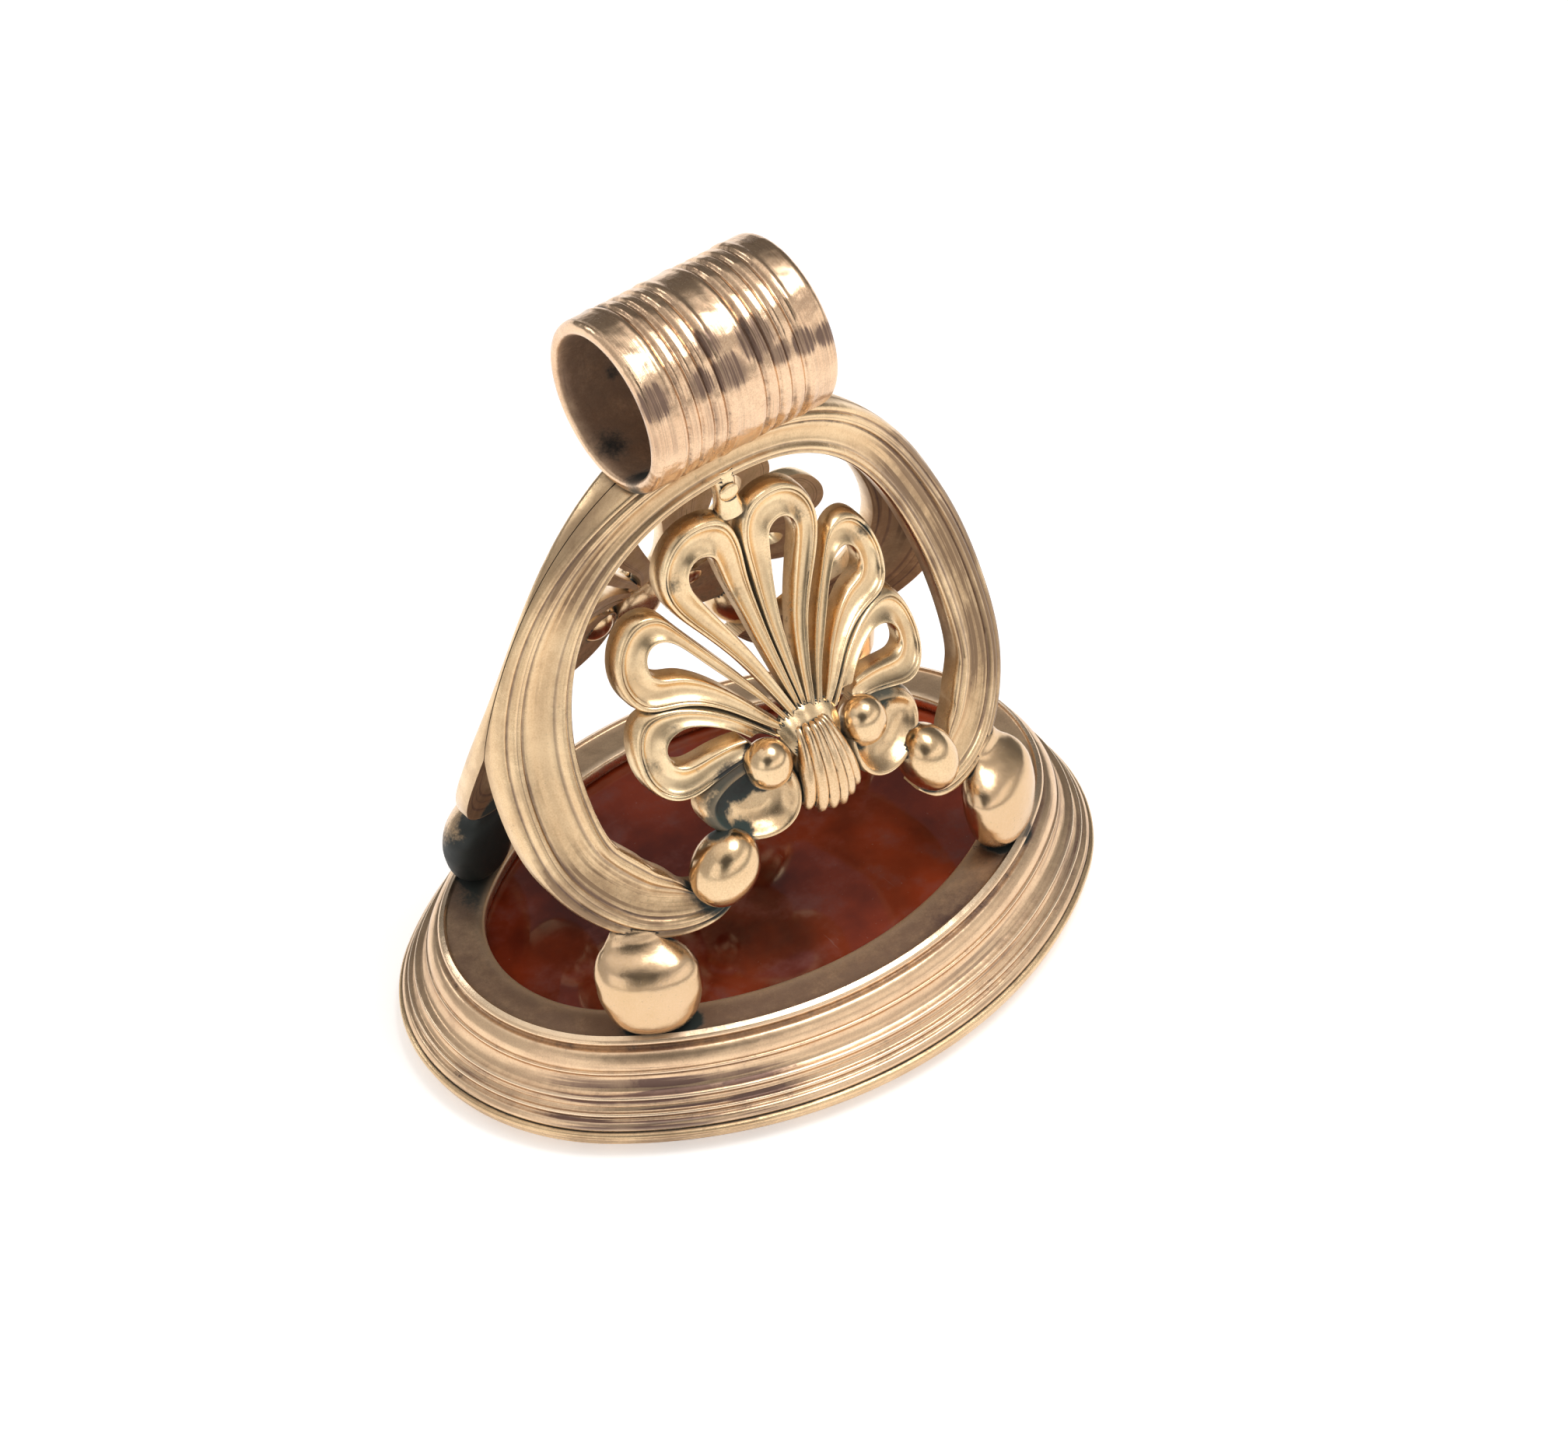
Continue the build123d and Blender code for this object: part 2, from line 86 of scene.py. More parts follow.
def spline(rows: Sequence[Row], at: Array) -> Array:
    """Natural cubic spline through rows of one knot and its values.

    Args:
        rows: the knot first, then any number of values, in order of the knot.
        at: where the spline is read.

    Returns:
        An array with one line for each place read and one column for each value.
    """
    table = np.array(rows, float)
    knots, values = table[:, 0], table[:, 1:]
    count = len(knots)
    steps = np.diff(knots)
    slopes = np.diff(values, axis=0) / steps[:, None]
    matrix = np.eye(count)
    right = np.zeros_like(values)
    for i in range(1, count - 1):
        matrix[i, i - 1 : i + 2] = steps[i - 1], 2 * (steps[i - 1] + steps[i]), steps[i]
        right[i] = 6 * (slopes[i] - slopes[i - 1])
    bends = np.linalg.solve(matrix, right)
    i = np.clip(np.searchsorted(knots, at, side="right") - 1, 0, count - 2)
    step = steps[i][:, None]
    on = (np.asarray(at) - knots[i])[:, None]
    back = step - on
    return (
        (bends[i] * back**3 + bends[i + 1] * on**3) / (6 * step)
        + (values[i] / step - bends[i] * step / 6) * back
        + (values[i + 1] / step - bends[i + 1] * step / 6) * on
    )


def bend_free(rows: Sequence[tuple[float, float]], at: Array) -> Array:
    """Smooth curve through rows that never overshoots them.

    Args:
        rows: pairs of place and value, in order.
        at: where the curve is read.

    Returns:
        The value at each place.
    """
    x, y = np.array(rows, float).T
    h = np.diff(x)
    d = np.diff(y) / h
    m = np.zeros_like(y)
    same = d[:-1] * d[1:] > 0
    m[1:-1][same] = 2 * d[:-1][same] * d[1:][same] / (d[:-1][same] + d[1:][same])
    m[0], m[-1] = d[0], d[-1]
    at = np.clip(at, x[0], x[-1])
    i = np.clip(np.searchsorted(x, at, side="right") - 1, 0, len(x) - 2)
    t = (at - x[i]) / h[i]
    rise = (1 + 2 * t) * (1 - t) ** 2 * y[i] + t * (1 - t) ** 2 * h[i] * m[i]
    return rise + t * t * (3 - 2 * t) * y[i + 1] + t * t * (t - 1) * h[i] * m[i + 1]


def run_of(points: Array) -> Array:
    """Length along a row of points up to each one, from their first two values."""
    return np.r_[0, np.cumsum(np.linalg.norm(np.diff(points[:, :2], axis=0), axis=1))]


def along(points: Sequence[Row] | Array, count: int) -> Array:
    """Evenly spaced points on a smooth curve through chosen ones.

    Args:
        points: the chosen points, whose first two values are the place. More values go along.
        count: how many points are wanted.

    Returns:
        An array of the points.
    """
    table = np.array(points, float)
    chord = run_of(table)
    rows = [(c, *row) for c, row in zip(chord, table)]
    fine = spline(rows, np.linspace(0, chord[-1], CURVE_STEPS * len(rows)))
    run = run_of(fine)
    wanted = np.linspace(0, run[-1], count)
    return np.stack([np.interp(wanted, run, column) for column in fine.T], axis=1)


# ---- Work on meshes


def deselect() -> None:
    """Leave nothing selected, so that an operator acts only on the piece in hand."""
    if bpy.context.object and bpy.context.object.mode != "OBJECT":
        bpy.ops.object.mode_set(mode="OBJECT")
    bpy.ops.object.select_all(action="DESELECT")


def take(piece: Piece) -> None:
    """Select one piece alone and make it active."""
    deselect()
    piece.select_set(True)
    bpy.context.view_layer.objects.active = piece


@contextmanager
def editing(piece: Piece) -> Iterator[None]:
    """Edit mode on one piece, with all of it selected at the start."""
    take(piece)
    bpy.ops.object.mode_set(mode="EDIT")
    bpy.ops.mesh.select_mode(type="VERT")
    bpy.ops.mesh.select_all(action="SELECT")
    yield
    bpy.ops.object.mode_set(mode="OBJECT")


def places(piece: Piece) -> Array:
    """The places of a piece's vertices, in millimetres."""
    flat = np.empty(3 * len(piece.data.vertices))
    piece.data.vertices.foreach_get("co", flat)
    return flat.reshape(-1, 3) / MM


def put(piece: Piece, spots: Array) -> None:
    """Move a piece's vertices to places in millimetres."""
    piece.data.vertices.foreach_set("co", (np.asarray(spots) * MM).ravel())
    piece.data.update()


def note(piece: Piece, name: str, values: Array) -> None:
    """Keep one number for each vertex of a piece under a name that its finish reads."""
    layer = piece.data.attributes.get(name) or piece.data.attributes.new(name, "FLOAT", "POINT")
    layer.data.foreach_set("value", np.asarray(values, dtype=np.float32))


def read(piece: Piece, name: str) -> Array:
    """The numbers kept under a name, or zeros."""
    values = np.zeros(len(piece.data.vertices), dtype=np.float32)
    layer = piece.data.attributes.get(name)
    if layer:
        layer.data.foreach_get("value", values)
    return values


def close_up(piece: Piece, reach: float = 0.002) -> None:
    """Merge the vertices that lie together and turn all faces outwards.

    Args:
        piece: the piece to mend.
        reach: how near vertices lie to be merged, in millimetres.
    """
    with editing(piece):
        bpy.ops.mesh.remove_doubles(threshold=reach * MM)
        bpy.ops.mesh.dissolve_degenerate(threshold=0.1 * reach * MM)
        bpy.ops.mesh.select_all(action="SELECT")
        bpy.ops.mesh.normals_make_consistent(inside=False)


def smooth(piece: Piece, crease: Crease) -> None:
    """Shade a piece smooth but for its creases."""
    take(piece)
    bpy.ops.object.shade_smooth_by_angle(angle=math.radians(crease.value))


def strip(
    name: str, lay: Callable[[Array, Array], Array], steps: tuple[int, int], ring: bool = False
) -> Piece:
    """A sheet of quads laid on a surface.

    Args:
        name: the piece's name.
        lay: gives the places in millimetres from the shares across and along.
        steps: how many faces lie across and along.
        ring: whether the far end meets the near end.

    Returns:
        The open sheet, with its share across kept on each vertex.
    """
    deselect()
    bpy.ops.mesh.primitive_grid_add(x_subdivisions=steps[0], y_subdivisions=steps[1], size=1)
    piece = bpy.context.object
    piece.name = piece.data.name = name
    shares = places(piece)[:, :2] * MM + 0.5
    put(piece, lay(shares[:, 0], shares[:, 1]))
    note(piece, "across", shares[:, 0])
    if ring:
        with editing(piece):
            bpy.ops.mesh.remove_doubles(threshold=MERGE * MM)
    return piece


def together(name: str, parts: Sequence[Piece]) -> Piece:
    """Join several meshes into one piece under a name."""
    deselect()
    for part in parts:
        part.select_set(True)
    bpy.context.view_layer.objects.active = parts[0]
    if len(parts) > 1:
        bpy.ops.object.join()
    piece = bpy.context.object
    piece.name = piece.data.name = name
    return piece


def copied(piece: Piece, name: str, change: Callable[[Array], Array]) -> Piece:
    """A copy with a mesh of its own and changed places, with its faces turned outwards again."""
    take(piece)
    bpy.ops.object.duplicate(linked=False)
    twin = bpy.context.object
    twin.name = twin.data.name = name
    put(twin, change(places(twin)))
    if np.linalg.det(change(np.eye(3)) - change(np.zeros((3, 3)))) < 0:
        with editing(twin):
            bpy.ops.mesh.flip_normals()
    return twin


def mirrored(spots: Array) -> Array:
    """Places carried to the other side of the middle."""
    return spots * (-1, 1, 1)


def turned(spots: Array) -> Array:
    """Places turned half way round the upright axis."""
    return spots * (-1, -1, 1)


# ---- Finishes


class Wire:
    """A socket that Python expressions add maths nodes to."""

    def __init__(self, tree: bpy.types.NodeTree, socket: bpy.types.NodeSocket) -> None:
        """Wrap an output socket of a tree."""
        self.tree = tree
        self.socket = socket

    def _math(self, operation: str, *values: "Wire | float") -> "Wire":
        """A Math node on the given values."""
        node = self.tree.nodes.new("ShaderNodeMath")
        node.operation = operation
        for slot, value in zip(node.inputs, values):
            if isinstance(value, Wire):
                self.tree.links.new(value.socket, slot)
            else:
                slot.default_value = float(value)
        return Wire(self.tree, node.outputs[0])

    def __add__(self, other: "Wire | float") -> "Wire":
        """Sum."""
        return self._math("ADD", self, other)

    __radd__ = __add__

    def __mul__(self, other: "Wire | float") -> "Wire":
        """Product."""
        return self._math("MULTIPLY", self, other)

    __rmul__ = __mul__

    def __sub__(self, other: "Wire | float") -> "Wire":
        """Difference."""
        return self._math("SUBTRACT", self, other)

    def __rsub__(self, other: float) -> "Wire":
        """Difference from a number."""
        return self._math("SUBTRACT", other, self)

    def __abs__(self) -> "Wire":
        """Size without its sign."""
        return self._math("ABSOLUTE", self)

    def ramp(self, low: float, high: float) -> "Wire":
        """Smooth step from 0 at one value to 1 at another, which may be the lower."""
        node = self.tree.nodes.new("ShaderNodeMapRange")
        node.interpolation_type = "SMOOTHSTEP"
        self.tree.links.new(self.socket, node.inputs["Value"])
        ends = {"From Min": min(low, high), "From Max": max(low, high)}
        ends |= {"To Min": float(low > high), "To Max": float(low < high)}
        for name, value in ends.items():
            node.inputs[name].default_value = value
        return Wire(self.tree, node.outputs["Result"])

    def held(self) -> "Wire":
        """The value held between 0 and 1."""
        node = self.tree.nodes.new("ShaderNodeClamp")
        self.tree.links.new(self.socket, node.inputs["Value"])
        return Wire(self.tree, node.outputs[0])

    def most(self, other: "Wire | float") -> "Wire":
        """The larger of two."""
        return self._math("MAXIMUM", self, other)


@dataclass(frozen=True)
class Blots:
    """Cloudy noise with blots of a size in millimetres, moved by a shift in metres."""

    size: float
    detail: float = 3.0
    rough: float = 0.55
    shift: float = 0.0


class Coat:
    """A material under construction."""

    def __init__(self, name: str) -> None:
        """Start a material with one Principled shader."""
        self.material = bpy.data.materials.new(name)
        self.material.use_nodes = True
        self.tree = self.material.node_tree
        self.shader = self.tree.nodes["Principled BSDF"]
        self.place = self.node("ShaderNodeTexCoord", {}, {}, "Object")

    def node(self, kind: str, settings: dict, values: dict, output: str | int = 0) -> Wire:
        """Add any node.

        Args:
            kind: the node's type.
            settings: its own settings, set first.
            values: values or wires of its sockets, by name or number.
            output: the output that is wanted, by name or number.

        Returns:
            That output.
        """
        made = self.tree.nodes.new(kind)
        for key, value in settings.items():
            setattr(made, key, value)
        for key, value in values.items():
            slot = made.inputs[key]
            if isinstance(value, Wire):
                self.tree.links.new(value.socket, slot)
            else:
                slot.default_value = value
        return Wire(self.tree, made.outputs[output])

    def kept(self, name: str) -> Wire:
        """A number kept on the piece's vertices."""
        return self.node("ShaderNodeAttribute", {"attribute_name": name}, {}, "Fac")

    def noise(self, blots: Blots) -> Wire:
        """Cloudy noise."""
        at = self.place
        if blots.shift:
            shift = (blots.shift,) * 3
            at = self.node("ShaderNodeVectorMath", {"operation": "ADD"}, {0: at, 1: shift})
        values = {"Vector": at, "Scale": 1 / (blots.size * MM)}
        values |= {"Detail": blots.detail, "Roughness": blots.rough}
        return self.node("ShaderNodeTexNoise", {}, values, "Fac")

    def stretched(self, size: Row, detail: float = 2.0) -> Wire:
        """Noise stretched to blots of a size in millimetres along each axis."""
        scale = tuple(1 / (s * MM) for s in size)
        at = self.node("ShaderNodeVectorMath", {"operation": "MULTIPLY"}, {0: self.place, 1: scale})
        return self.node("ShaderNodeTexNoise", {}, {"Vector": at, "Scale": 1.0, "Detail": detail}, "Fac")

    def streaks(self, long: float, across: float, detail: float = 3.0) -> Wire:
        """Streaks that follow a moulding.

        Args:
            long: the streaks' length in millimetres.
            across: how many streaks lie side by side from one edge of the moulding to the other.
            detail: how much finer they get.

        Returns:
            The noise.
        """
        scale = 1 / (long * MM)
        at = self.node("ShaderNodeVectorMath", {"operation": "SCALE"}, {0: self.place, "Scale": scale})
        values = {"Vector": at, "W": self.kept("across") * across, "Scale": 1.0, "Detail": detail}
        return self.node("ShaderNodeTexNoise", {"noise_dimensions": "4D"}, values, "Fac")

    def blend(self, share: Wire | float, low: "Wire | Row", high: "Wire | Row") -> Wire:
        """A colour between two."""
        low, high = ((*c, 1.0) if isinstance(c, tuple) else c for c in (low, high))
        # the colour sockets go by number, because the node's others have the same names
        return self.node("ShaderNodeMix", {"data_type": "RGBA"}, {0: share, 6: low, 7: high}, 2)

    def feed(self, name: str, value: Wire | float | Row) -> None:
        """Set or link one input of the shader."""
        if isinstance(value, Wire):
            self.tree.links.new(value.socket, self.shader.inputs[name])
        else:
            self.shader.inputs[name].default_value = value

    def rise(self, height: Wire, depth: float, under: Wire | None = None) -> Wire:
        """A bump of a depth in millimetres over another bump."""
        values = {"Height": height, "Strength": 1.0, "Distance": depth * MM}
        if under:
            values["Normal"] = under
        return self.node("ShaderNodeBump", {}, values)


@dataclass(frozen=True)
class Line:
    """A fine line that lies along a moulding, at a share of the way across it."""

    at: float
    width: float
    strength: float = 0.5
    solid: float = 0.25


def mixed(mix: Mix, wires: dict[str, Wire]) -> Wire:
    """Sum of named wires.

    Args:
        mix: pairs of a wire's name and its share.
        wires: the wires by name.

    Returns:
        The sum.
    """
    first, *rest = (wires[name] * share for name, share in mix)
    return sum(rest, first)


@dataclass(frozen=True)
class GoldFinish:
    """Old gold: polished where it is touched, satin and brown elsewhere, dark in the crevices with dirt
    and painted shade, with painted highlights on edges, painted shade in grooves and a painted dark
    reflection.
    """

    name: str
    bright: Row = (0.87, 0.645, 0.395)
    warm: Row = (0.71, 0.485, 0.275)
    # brown tarnish colour, also used for painted shade and a painted dark reflection
    tarnish_and_shade_colour: Row = (0.31, 0.205, 0.125)
    # dirt colour, also used for painted shade in crevices and painted shadow under the feet
    dirt_and_shade_colour: Row = (0.026, 0.023, 0.021)
    green: Row = (0.030, 0.050, 0.044)
    # colour of the painted shade along the moulding's grooves
    line: Row = (0.15, 0.095, 0.085)
    # colour of the painted highlight on convex edges
    painted_highlight: Row = (1.0, 0.83, 0.62)

    clouds: Blots = Blots(2.6, 4.0, 0.6)
    patches: Blots = Blots(0.75, 5.0, 0.65, 0.013)
    specks: Blots = Blots(0.13, 4.0, 0.7, 0.031)
    sand: Blots = Blots(0.055, 2.0, 0.6, 0.003)
    dimples: Blots = Blots(1.1, 2.0, 0.5, 0.007)

    # brown tarnish with painted shade: evenly in hollows, where it is painted shade, and in patches, in
    # spots that also paint a dark reflection on the bail, and in strokes along the moulding
    warm_mix: Mix = (("clouds", 1.0), ("patches", 0.5), ("sand", 0.9))
    warm_steps: Row = (0.82, 1.56)
    tarnish_and_shade_mix: Mix = (("muck", 1.0), ("patches", 0.75), ("specks", 0.30), ("film", 0.6))
    tarnish_and_shade_steps: Row = (0.58, 1.25)
    tarnish_and_shade_share: float = 0.75
    shade: float = 1.1
    even: float = 0.5
    ragged: float = 1.2
    streak: float = 0.0
    streak_count: float = 40.0
    stroke_length: float = 7.0
    stroke_steps: Row = (0.48, 0.58)
    stroke_clouds: Row = (0.40, 0.70)

    # edges rubbed clean and made lighter as a painted highlight, and painted shade drawn in lines along
    # the moulding's grooves
    edge_from: float = 0.10
    edge_full: float = 0.45
    edge_clean: float = 0.8
    edge_painted_highlight: float = 0.0
    lines: tuple[Line, ...] = ()
    groove_shade_least: float = 0.45
    groove_shade_patchy: float = 0.9

    # dirt and painted shade in crevices, painted shadow where the front feet stand on the ledge, stains
    # and pores
    dirt_and_shade_mix: Mix = (
        ("hollow", 1.0), ("muck", 1.0), ("specks", 0.34), ("patches", 0.26), ("film", 0.10),
    )
    dirt_and_shade_base: float = 0.26
    dirt_and_shade_from: float = 0.20
    dirt_and_shade_full: float = 0.50
    dirt_and_shade_cover: float = 0.85
    stains: float = 0.6
    stain_steps: tuple[tuple[str, float, float], ...] = (
        ("patches", 0.56, 0.68), ("specks", 0.40, 0.60), ("deep", 0.02, 0.30),
    )
    pores: float = 0.22
    pore_steps: Row = (0.63, 0.70)
    green_mix: Mix = (("clouds", 1.2), ("specks", 0.2))
    green_steps: Row = (0.45, 0.8)
    green_share: float = 0.5

    # roughness and bumps, whose depths are in millimetres
    polish: float = 0.20
    dull: float = 0.20
    satin: tuple[Line, ...] = ()
    rough_mix: Mix = (("patches", 0.14), ("tarnish_and_shade", 0.16), ("dirt_and_shade", 0.3), ("edge", -0.06))
    grain: float = 0.004
    dents: float = 0.035
    streak_grain: float = 0.005
    scratch_length: float = 5.0
    scratch_share: float = 2.5
    scratch_detail: float = 2.0

    @staticmethod
    def drawn(coat: Coat, lines: Sequence[Line]) -> Wire:
        """The strength of a set of lines across the moulding."""
        across = coat.kept("across")
        total, *rest = (
            abs(across - line.at).ramp(line.width, line.solid * line.width) * line.strength
            for line in lines
        )
        for other in rest:
            total = total.most(other)
        return total

    def tarnish_and_shade(self, coat: Coat, wires: dict[str, Wire]) -> Wire:
        """How brown the gold is, from tarnish and from painted shade and a painted dark reflection."""
        mix = (("deep", self.shade), ("brown", self.even), *self.tarnish_and_shade_mix)
        tarnish_and_shade = mixed(mix, wires).ramp(*self.tarnish_and_shade_steps) * self.tarnish_and_shade_share
        if self.streak:
            strokes = coat.streaks(self.stroke_length, self.streak_count).ramp(*self.stroke_steps)
            share = wires["clouds"].ramp(*self.stroke_clouds) * self.streak
            tarnish_and_shade = tarnish_and_shade + strokes * (share + wires["brown"] * self.ragged)
        return (tarnish_and_shade * (1 - wires["edge"] * self.edge_clean)).held()

    def dirt_and_shade(self, wires: dict[str, Wire]) -> Wire:
        """How dirty the gold is, with painted shade in its crevices and painted shadow under the front
        feet.
        """
        stain = math.prod(wires[name].ramp(low, high) for name, low, high in self.stain_steps)
        dirt_and_shade = (mixed(self.dirt_and_shade_mix, wires) - self.dirt_and_shade_base).ramp(self.dirt_and_shade_from, self.dirt_and_shade_full)
        pores = wires["specks"].ramp(*self.pore_steps) * self.pores
        return (dirt_and_shade * (1 - wires["edge"])).most(stain.held() * self.stains).most(pores)

    def colour(self, coat: Coat, wires: dict[str, Wire]) -> Wire:
        """The colour, from clean gold to dirt, with painted shade, painted shadow, painted highlights
        and a painted dark reflection.
        """
        colour = coat.blend(mixed(self.warm_mix, wires).ramp(*self.warm_steps), self.bright, self.warm)
        colour = coat.blend(wires["tarnish_and_shade"], colour, self.tarnish_and_shade_colour)
        # painted shade along the grooves of the moulding
        if self.lines:
            patchy = (self.groove_shade_least + wires["patches"] * self.groove_shade_patchy).held()
            colour = coat.blend(self.drawn(coat, self.lines) * patchy, colour, self.line)
        # painted highlight on the convex edges
        if self.edge_painted_highlight:
            colour = coat.blend(wires["edge"] * self.edge_painted_highlight, colour, self.painted_highlight)
        green = mixed(self.green_mix, wires).ramp(*self.green_steps) * self.green_share
        return coat.blend(wires["dirt_and_shade"], colour, coat.blend(green, self.dirt_and_shade_colour, self.green))

    def material(self) -> bpy.types.Material:
        """Build the material."""
        coat = Coat(self.name)
        wires = {name: coat.kept(name) for name in ("hollow", "deep", "ridge", "film", "muck", "brown")}
        for name in ("clouds", "patches", "specks", "sand"):
            wires[name] = coat.noise(getattr(self, name))
        wires["edge"] = wires["ridge"].ramp(self.edge_from, self.edge_full)
        wires["tarnish_and_shade"] = self.tarnish_and_shade(coat, wires)
        wires["dirt_and_shade"] = self.dirt_and_shade(wires)
        coat.feed("Base Color", self.colour(coat, wires))
        coat.feed("Metallic", 1 - wires["dirt_and_shade"] * self.dirt_and_shade_cover)
        rough = self.polish + mixed((*self.rough_mix, ("film", self.dull)), wires)
        if self.satin:
            rough = rough + self.drawn(coat, self.satin) * self.dull
        coat.feed("Roughness", rough.held())
        grain = coat.rise(wires["specks"], self.grain)
        if self.streak:
            count = self.scratch_share * self.streak_count
            scratches = coat.streaks(self.scratch_length, count, self.scratch_detail)
            grain = coat.rise(scratches, self.streak_grain, grain)
        coat.feed("Normal", coat.rise(coat.noise(self.dimples), self.dents, grain))
        return coat.material


@dataclass(frozen=True)
class StoneFinish:
    """Polished deep red-brown carnelian with a few scratches and dust, and a painted mauve sheen."""

    name: str
    deep: Row = (0.080, 0.0095, 0.0048)
    warm: Row = (0.360, 0.050, 0.014)
    # colour of the painted sheen
    painted_mauve_sheen: Row = (0.230, 0.080, 0.068)
    dust: Row = (0.42, 0.30, 0.27)
    clouds: Blots = Blots(5.0, 3.0, 0.5)
    veins: Blots = Blots(1.8, 4.0, 0.6, 0.02)
    specks: Blots = Blots(0.10, 2.0, 0.5, 0.04)
    swell: Blots = Blots(3.0, 1.0)
    warm_mix: Mix = (("clouds", 1.0), ("veins", 0.35))
    warm_steps: Row = (0.45, 0.95)
    painted_sheen_steps: Row = (0.50, 0.75)
    painted_sheen_share: float = 0.7
    speck_steps: Row = (0.70, 0.80)
    speck_clouds: Row = (0.40, 0.62)
    scratch_size: Row = (0.12, 3.0, 3.0)
    scratch_steps: Row = (0.715, 0.75)
    scratch_veins: Row = (0.45, 0.6)
    scratch_share: float = 0.7
    marks_share: float = 0.35
    polish: float = 0.045
    marks_rough: float = 0.5
    refraction: float = 1.54
    swell_depth: float = 0.010

    def material(self) -> bpy.types.Material:
        """Build the material."""
        coat = Coat(self.name)
        wires = {name: coat.noise(getattr(self, name)) for name in ("clouds", "veins", "specks")}
        clouds, veins, specks = wires.values()
        colour = coat.blend(mixed(self.warm_mix, wires).ramp(*self.warm_steps), self.deep, self.warm)
        # painted mauve sheen in blots along the veins
        colour = coat.blend(veins.ramp(*self.painted_sheen_steps) * self.painted_sheen_share, colour, self.painted_mauve_sheen)
        specks = specks.ramp(*self.speck_steps) * clouds.ramp(*self.speck_clouds)
        scratches = coat.stretched(self.scratch_size).ramp(*self.scratch_steps)
        scratches = scratches * veins.ramp(*self.scratch_veins)
        marks = (specks + scratches * self.scratch_share).held() * self.marks_share
        coat.feed("Base Color", coat.blend(marks, colour, self.dust))
        coat.feed("Roughness", (self.polish + marks * self.marks_rough).held())
        coat.feed("IOR", self.refraction)
        coat.feed("Normal", coat.rise(coat.noise(self.swell), self.swell_depth))
        return coat.material


@dataclass(frozen=True)
class FloorFinish:
    """The plain pale floor."""

    name: str
    colour: Row = (0.90, 0.90, 0.90, 1.0)
    glow: float = 0.45
    roughness: float = 0.9
    gloss: float = 0.1

    def material(self) -> bpy.types.Material:
        """Build the material."""
        coat = Coat(self.name)
        coat.feed("Base Color", self.colour)
        coat.feed("Roughness", self.roughness)
        coat.feed("Specular IOR Level", self.gloss)
        coat.feed("Emission Color", self.colour)
        coat.feed("Emission Strength", self.glow)
        return coat.material


# ---- Forms that several pieces share


@dataclass(frozen=True)
class PanelForm:
    """The bowed front face of a panel, and the fuller face of its palmette."""

    bow_radius: float = 17.0
    thickness: float = 0.8
    fan_thickness: float = 0.62
    seam: float = -0.02
    skin: float = 0.02
    fan_half: float = 6.4
    depths: tuple[Row, ...] = (
        # height, depth of the middle
        (3.9, 6.40), (6.2, 6.13), (9.2, 5.27), (12.5, 3.75), (15.4, 2.50), (18.05, 1.75),
        (21.5, 1.10), (24.0, 0.86),
    )
    fullness: tuple[Row, ...] = (
        # height, how far the palmette's middle stands in front of the panel
        (7.0, 0.55), (9.0, 0.78), (11.0, 0.94), (12.5, 0.82), (13.8, 0.50), (15.2, 0.18),
        (17.0, 0.0), (22.0, 0.0),
    )

    def depth(self, x: Array, z: Array) -> Array:
        """How far the panel's face stands in front of the middle plane."""
        middle = spline(self.depths, np.asarray(z, float))[:, 0]
        return middle - self.bow_radius + np.sqrt(self.bow_radius**2 - np.asarray(x, float) ** 2)

    def fan_depth(self, x: Array, z: Array) -> Array:
        """How far the palmette's face stands in front of the middle plane."""
        swell = bend_free(self.fullness, np.asarray(z, float))
        return self.depth(x, z) + swell * np.clip(1 - (np.asarray(x) / self.fan_half) ** 2, 0, 1)

    def wall(self, piece: Piece, fan: bool) -> None:
        """Carry a front sheet back to a plain rear face at the panel's thickness.

        Args:
            piece: an open sheet on the panel's face or the palmette's.
            fan: whether it lies on the palmette's.
        """
        thickness = self.fan_thickness if fan else self.thickness
        with editing(piece):
            bpy.ops.mesh.extrude_region_move(TRANSFORM_OT_translate={"value": (0, thickness * MM, 0)})
        moved = np.zeros(len(piece.data.vertices), dtype=bool)
        piece.data.vertices.foreach_get("select", moved)
        spots = places(piece)
        depth = self.fan_depth if fan else self.depth
        rear = thickness - depth(spots[:, 0], spots[:, 2])
        spots[moved, 1] = rear[moved]
        # the rear faces get a dull film that also darkens them as painted shade
        note(piece, "film", moved)
        spots[:, 1] = np.minimum(spots[:, 1], self.seam - self.skin * ~moved)
        put(piece, spots)
        close_up(piece)


def relieve(
    rows: Sequence[Row], share: Array, width: Array, full: float, least: float = 0.3
) -> Array:
    """Rise of a moulded strip, gentler where the strip is narrow.

    Args:
        rows: the rise at shares across the strip.
        share: where it is read.
        width: the strip's width there.
        full: the width from which the rise is whole.
        least: the smallest part of the rise.

    Returns:
        The rise at each place.
    """
    return bend_free(rows, share) * np.clip(width / full, least, 1.0)


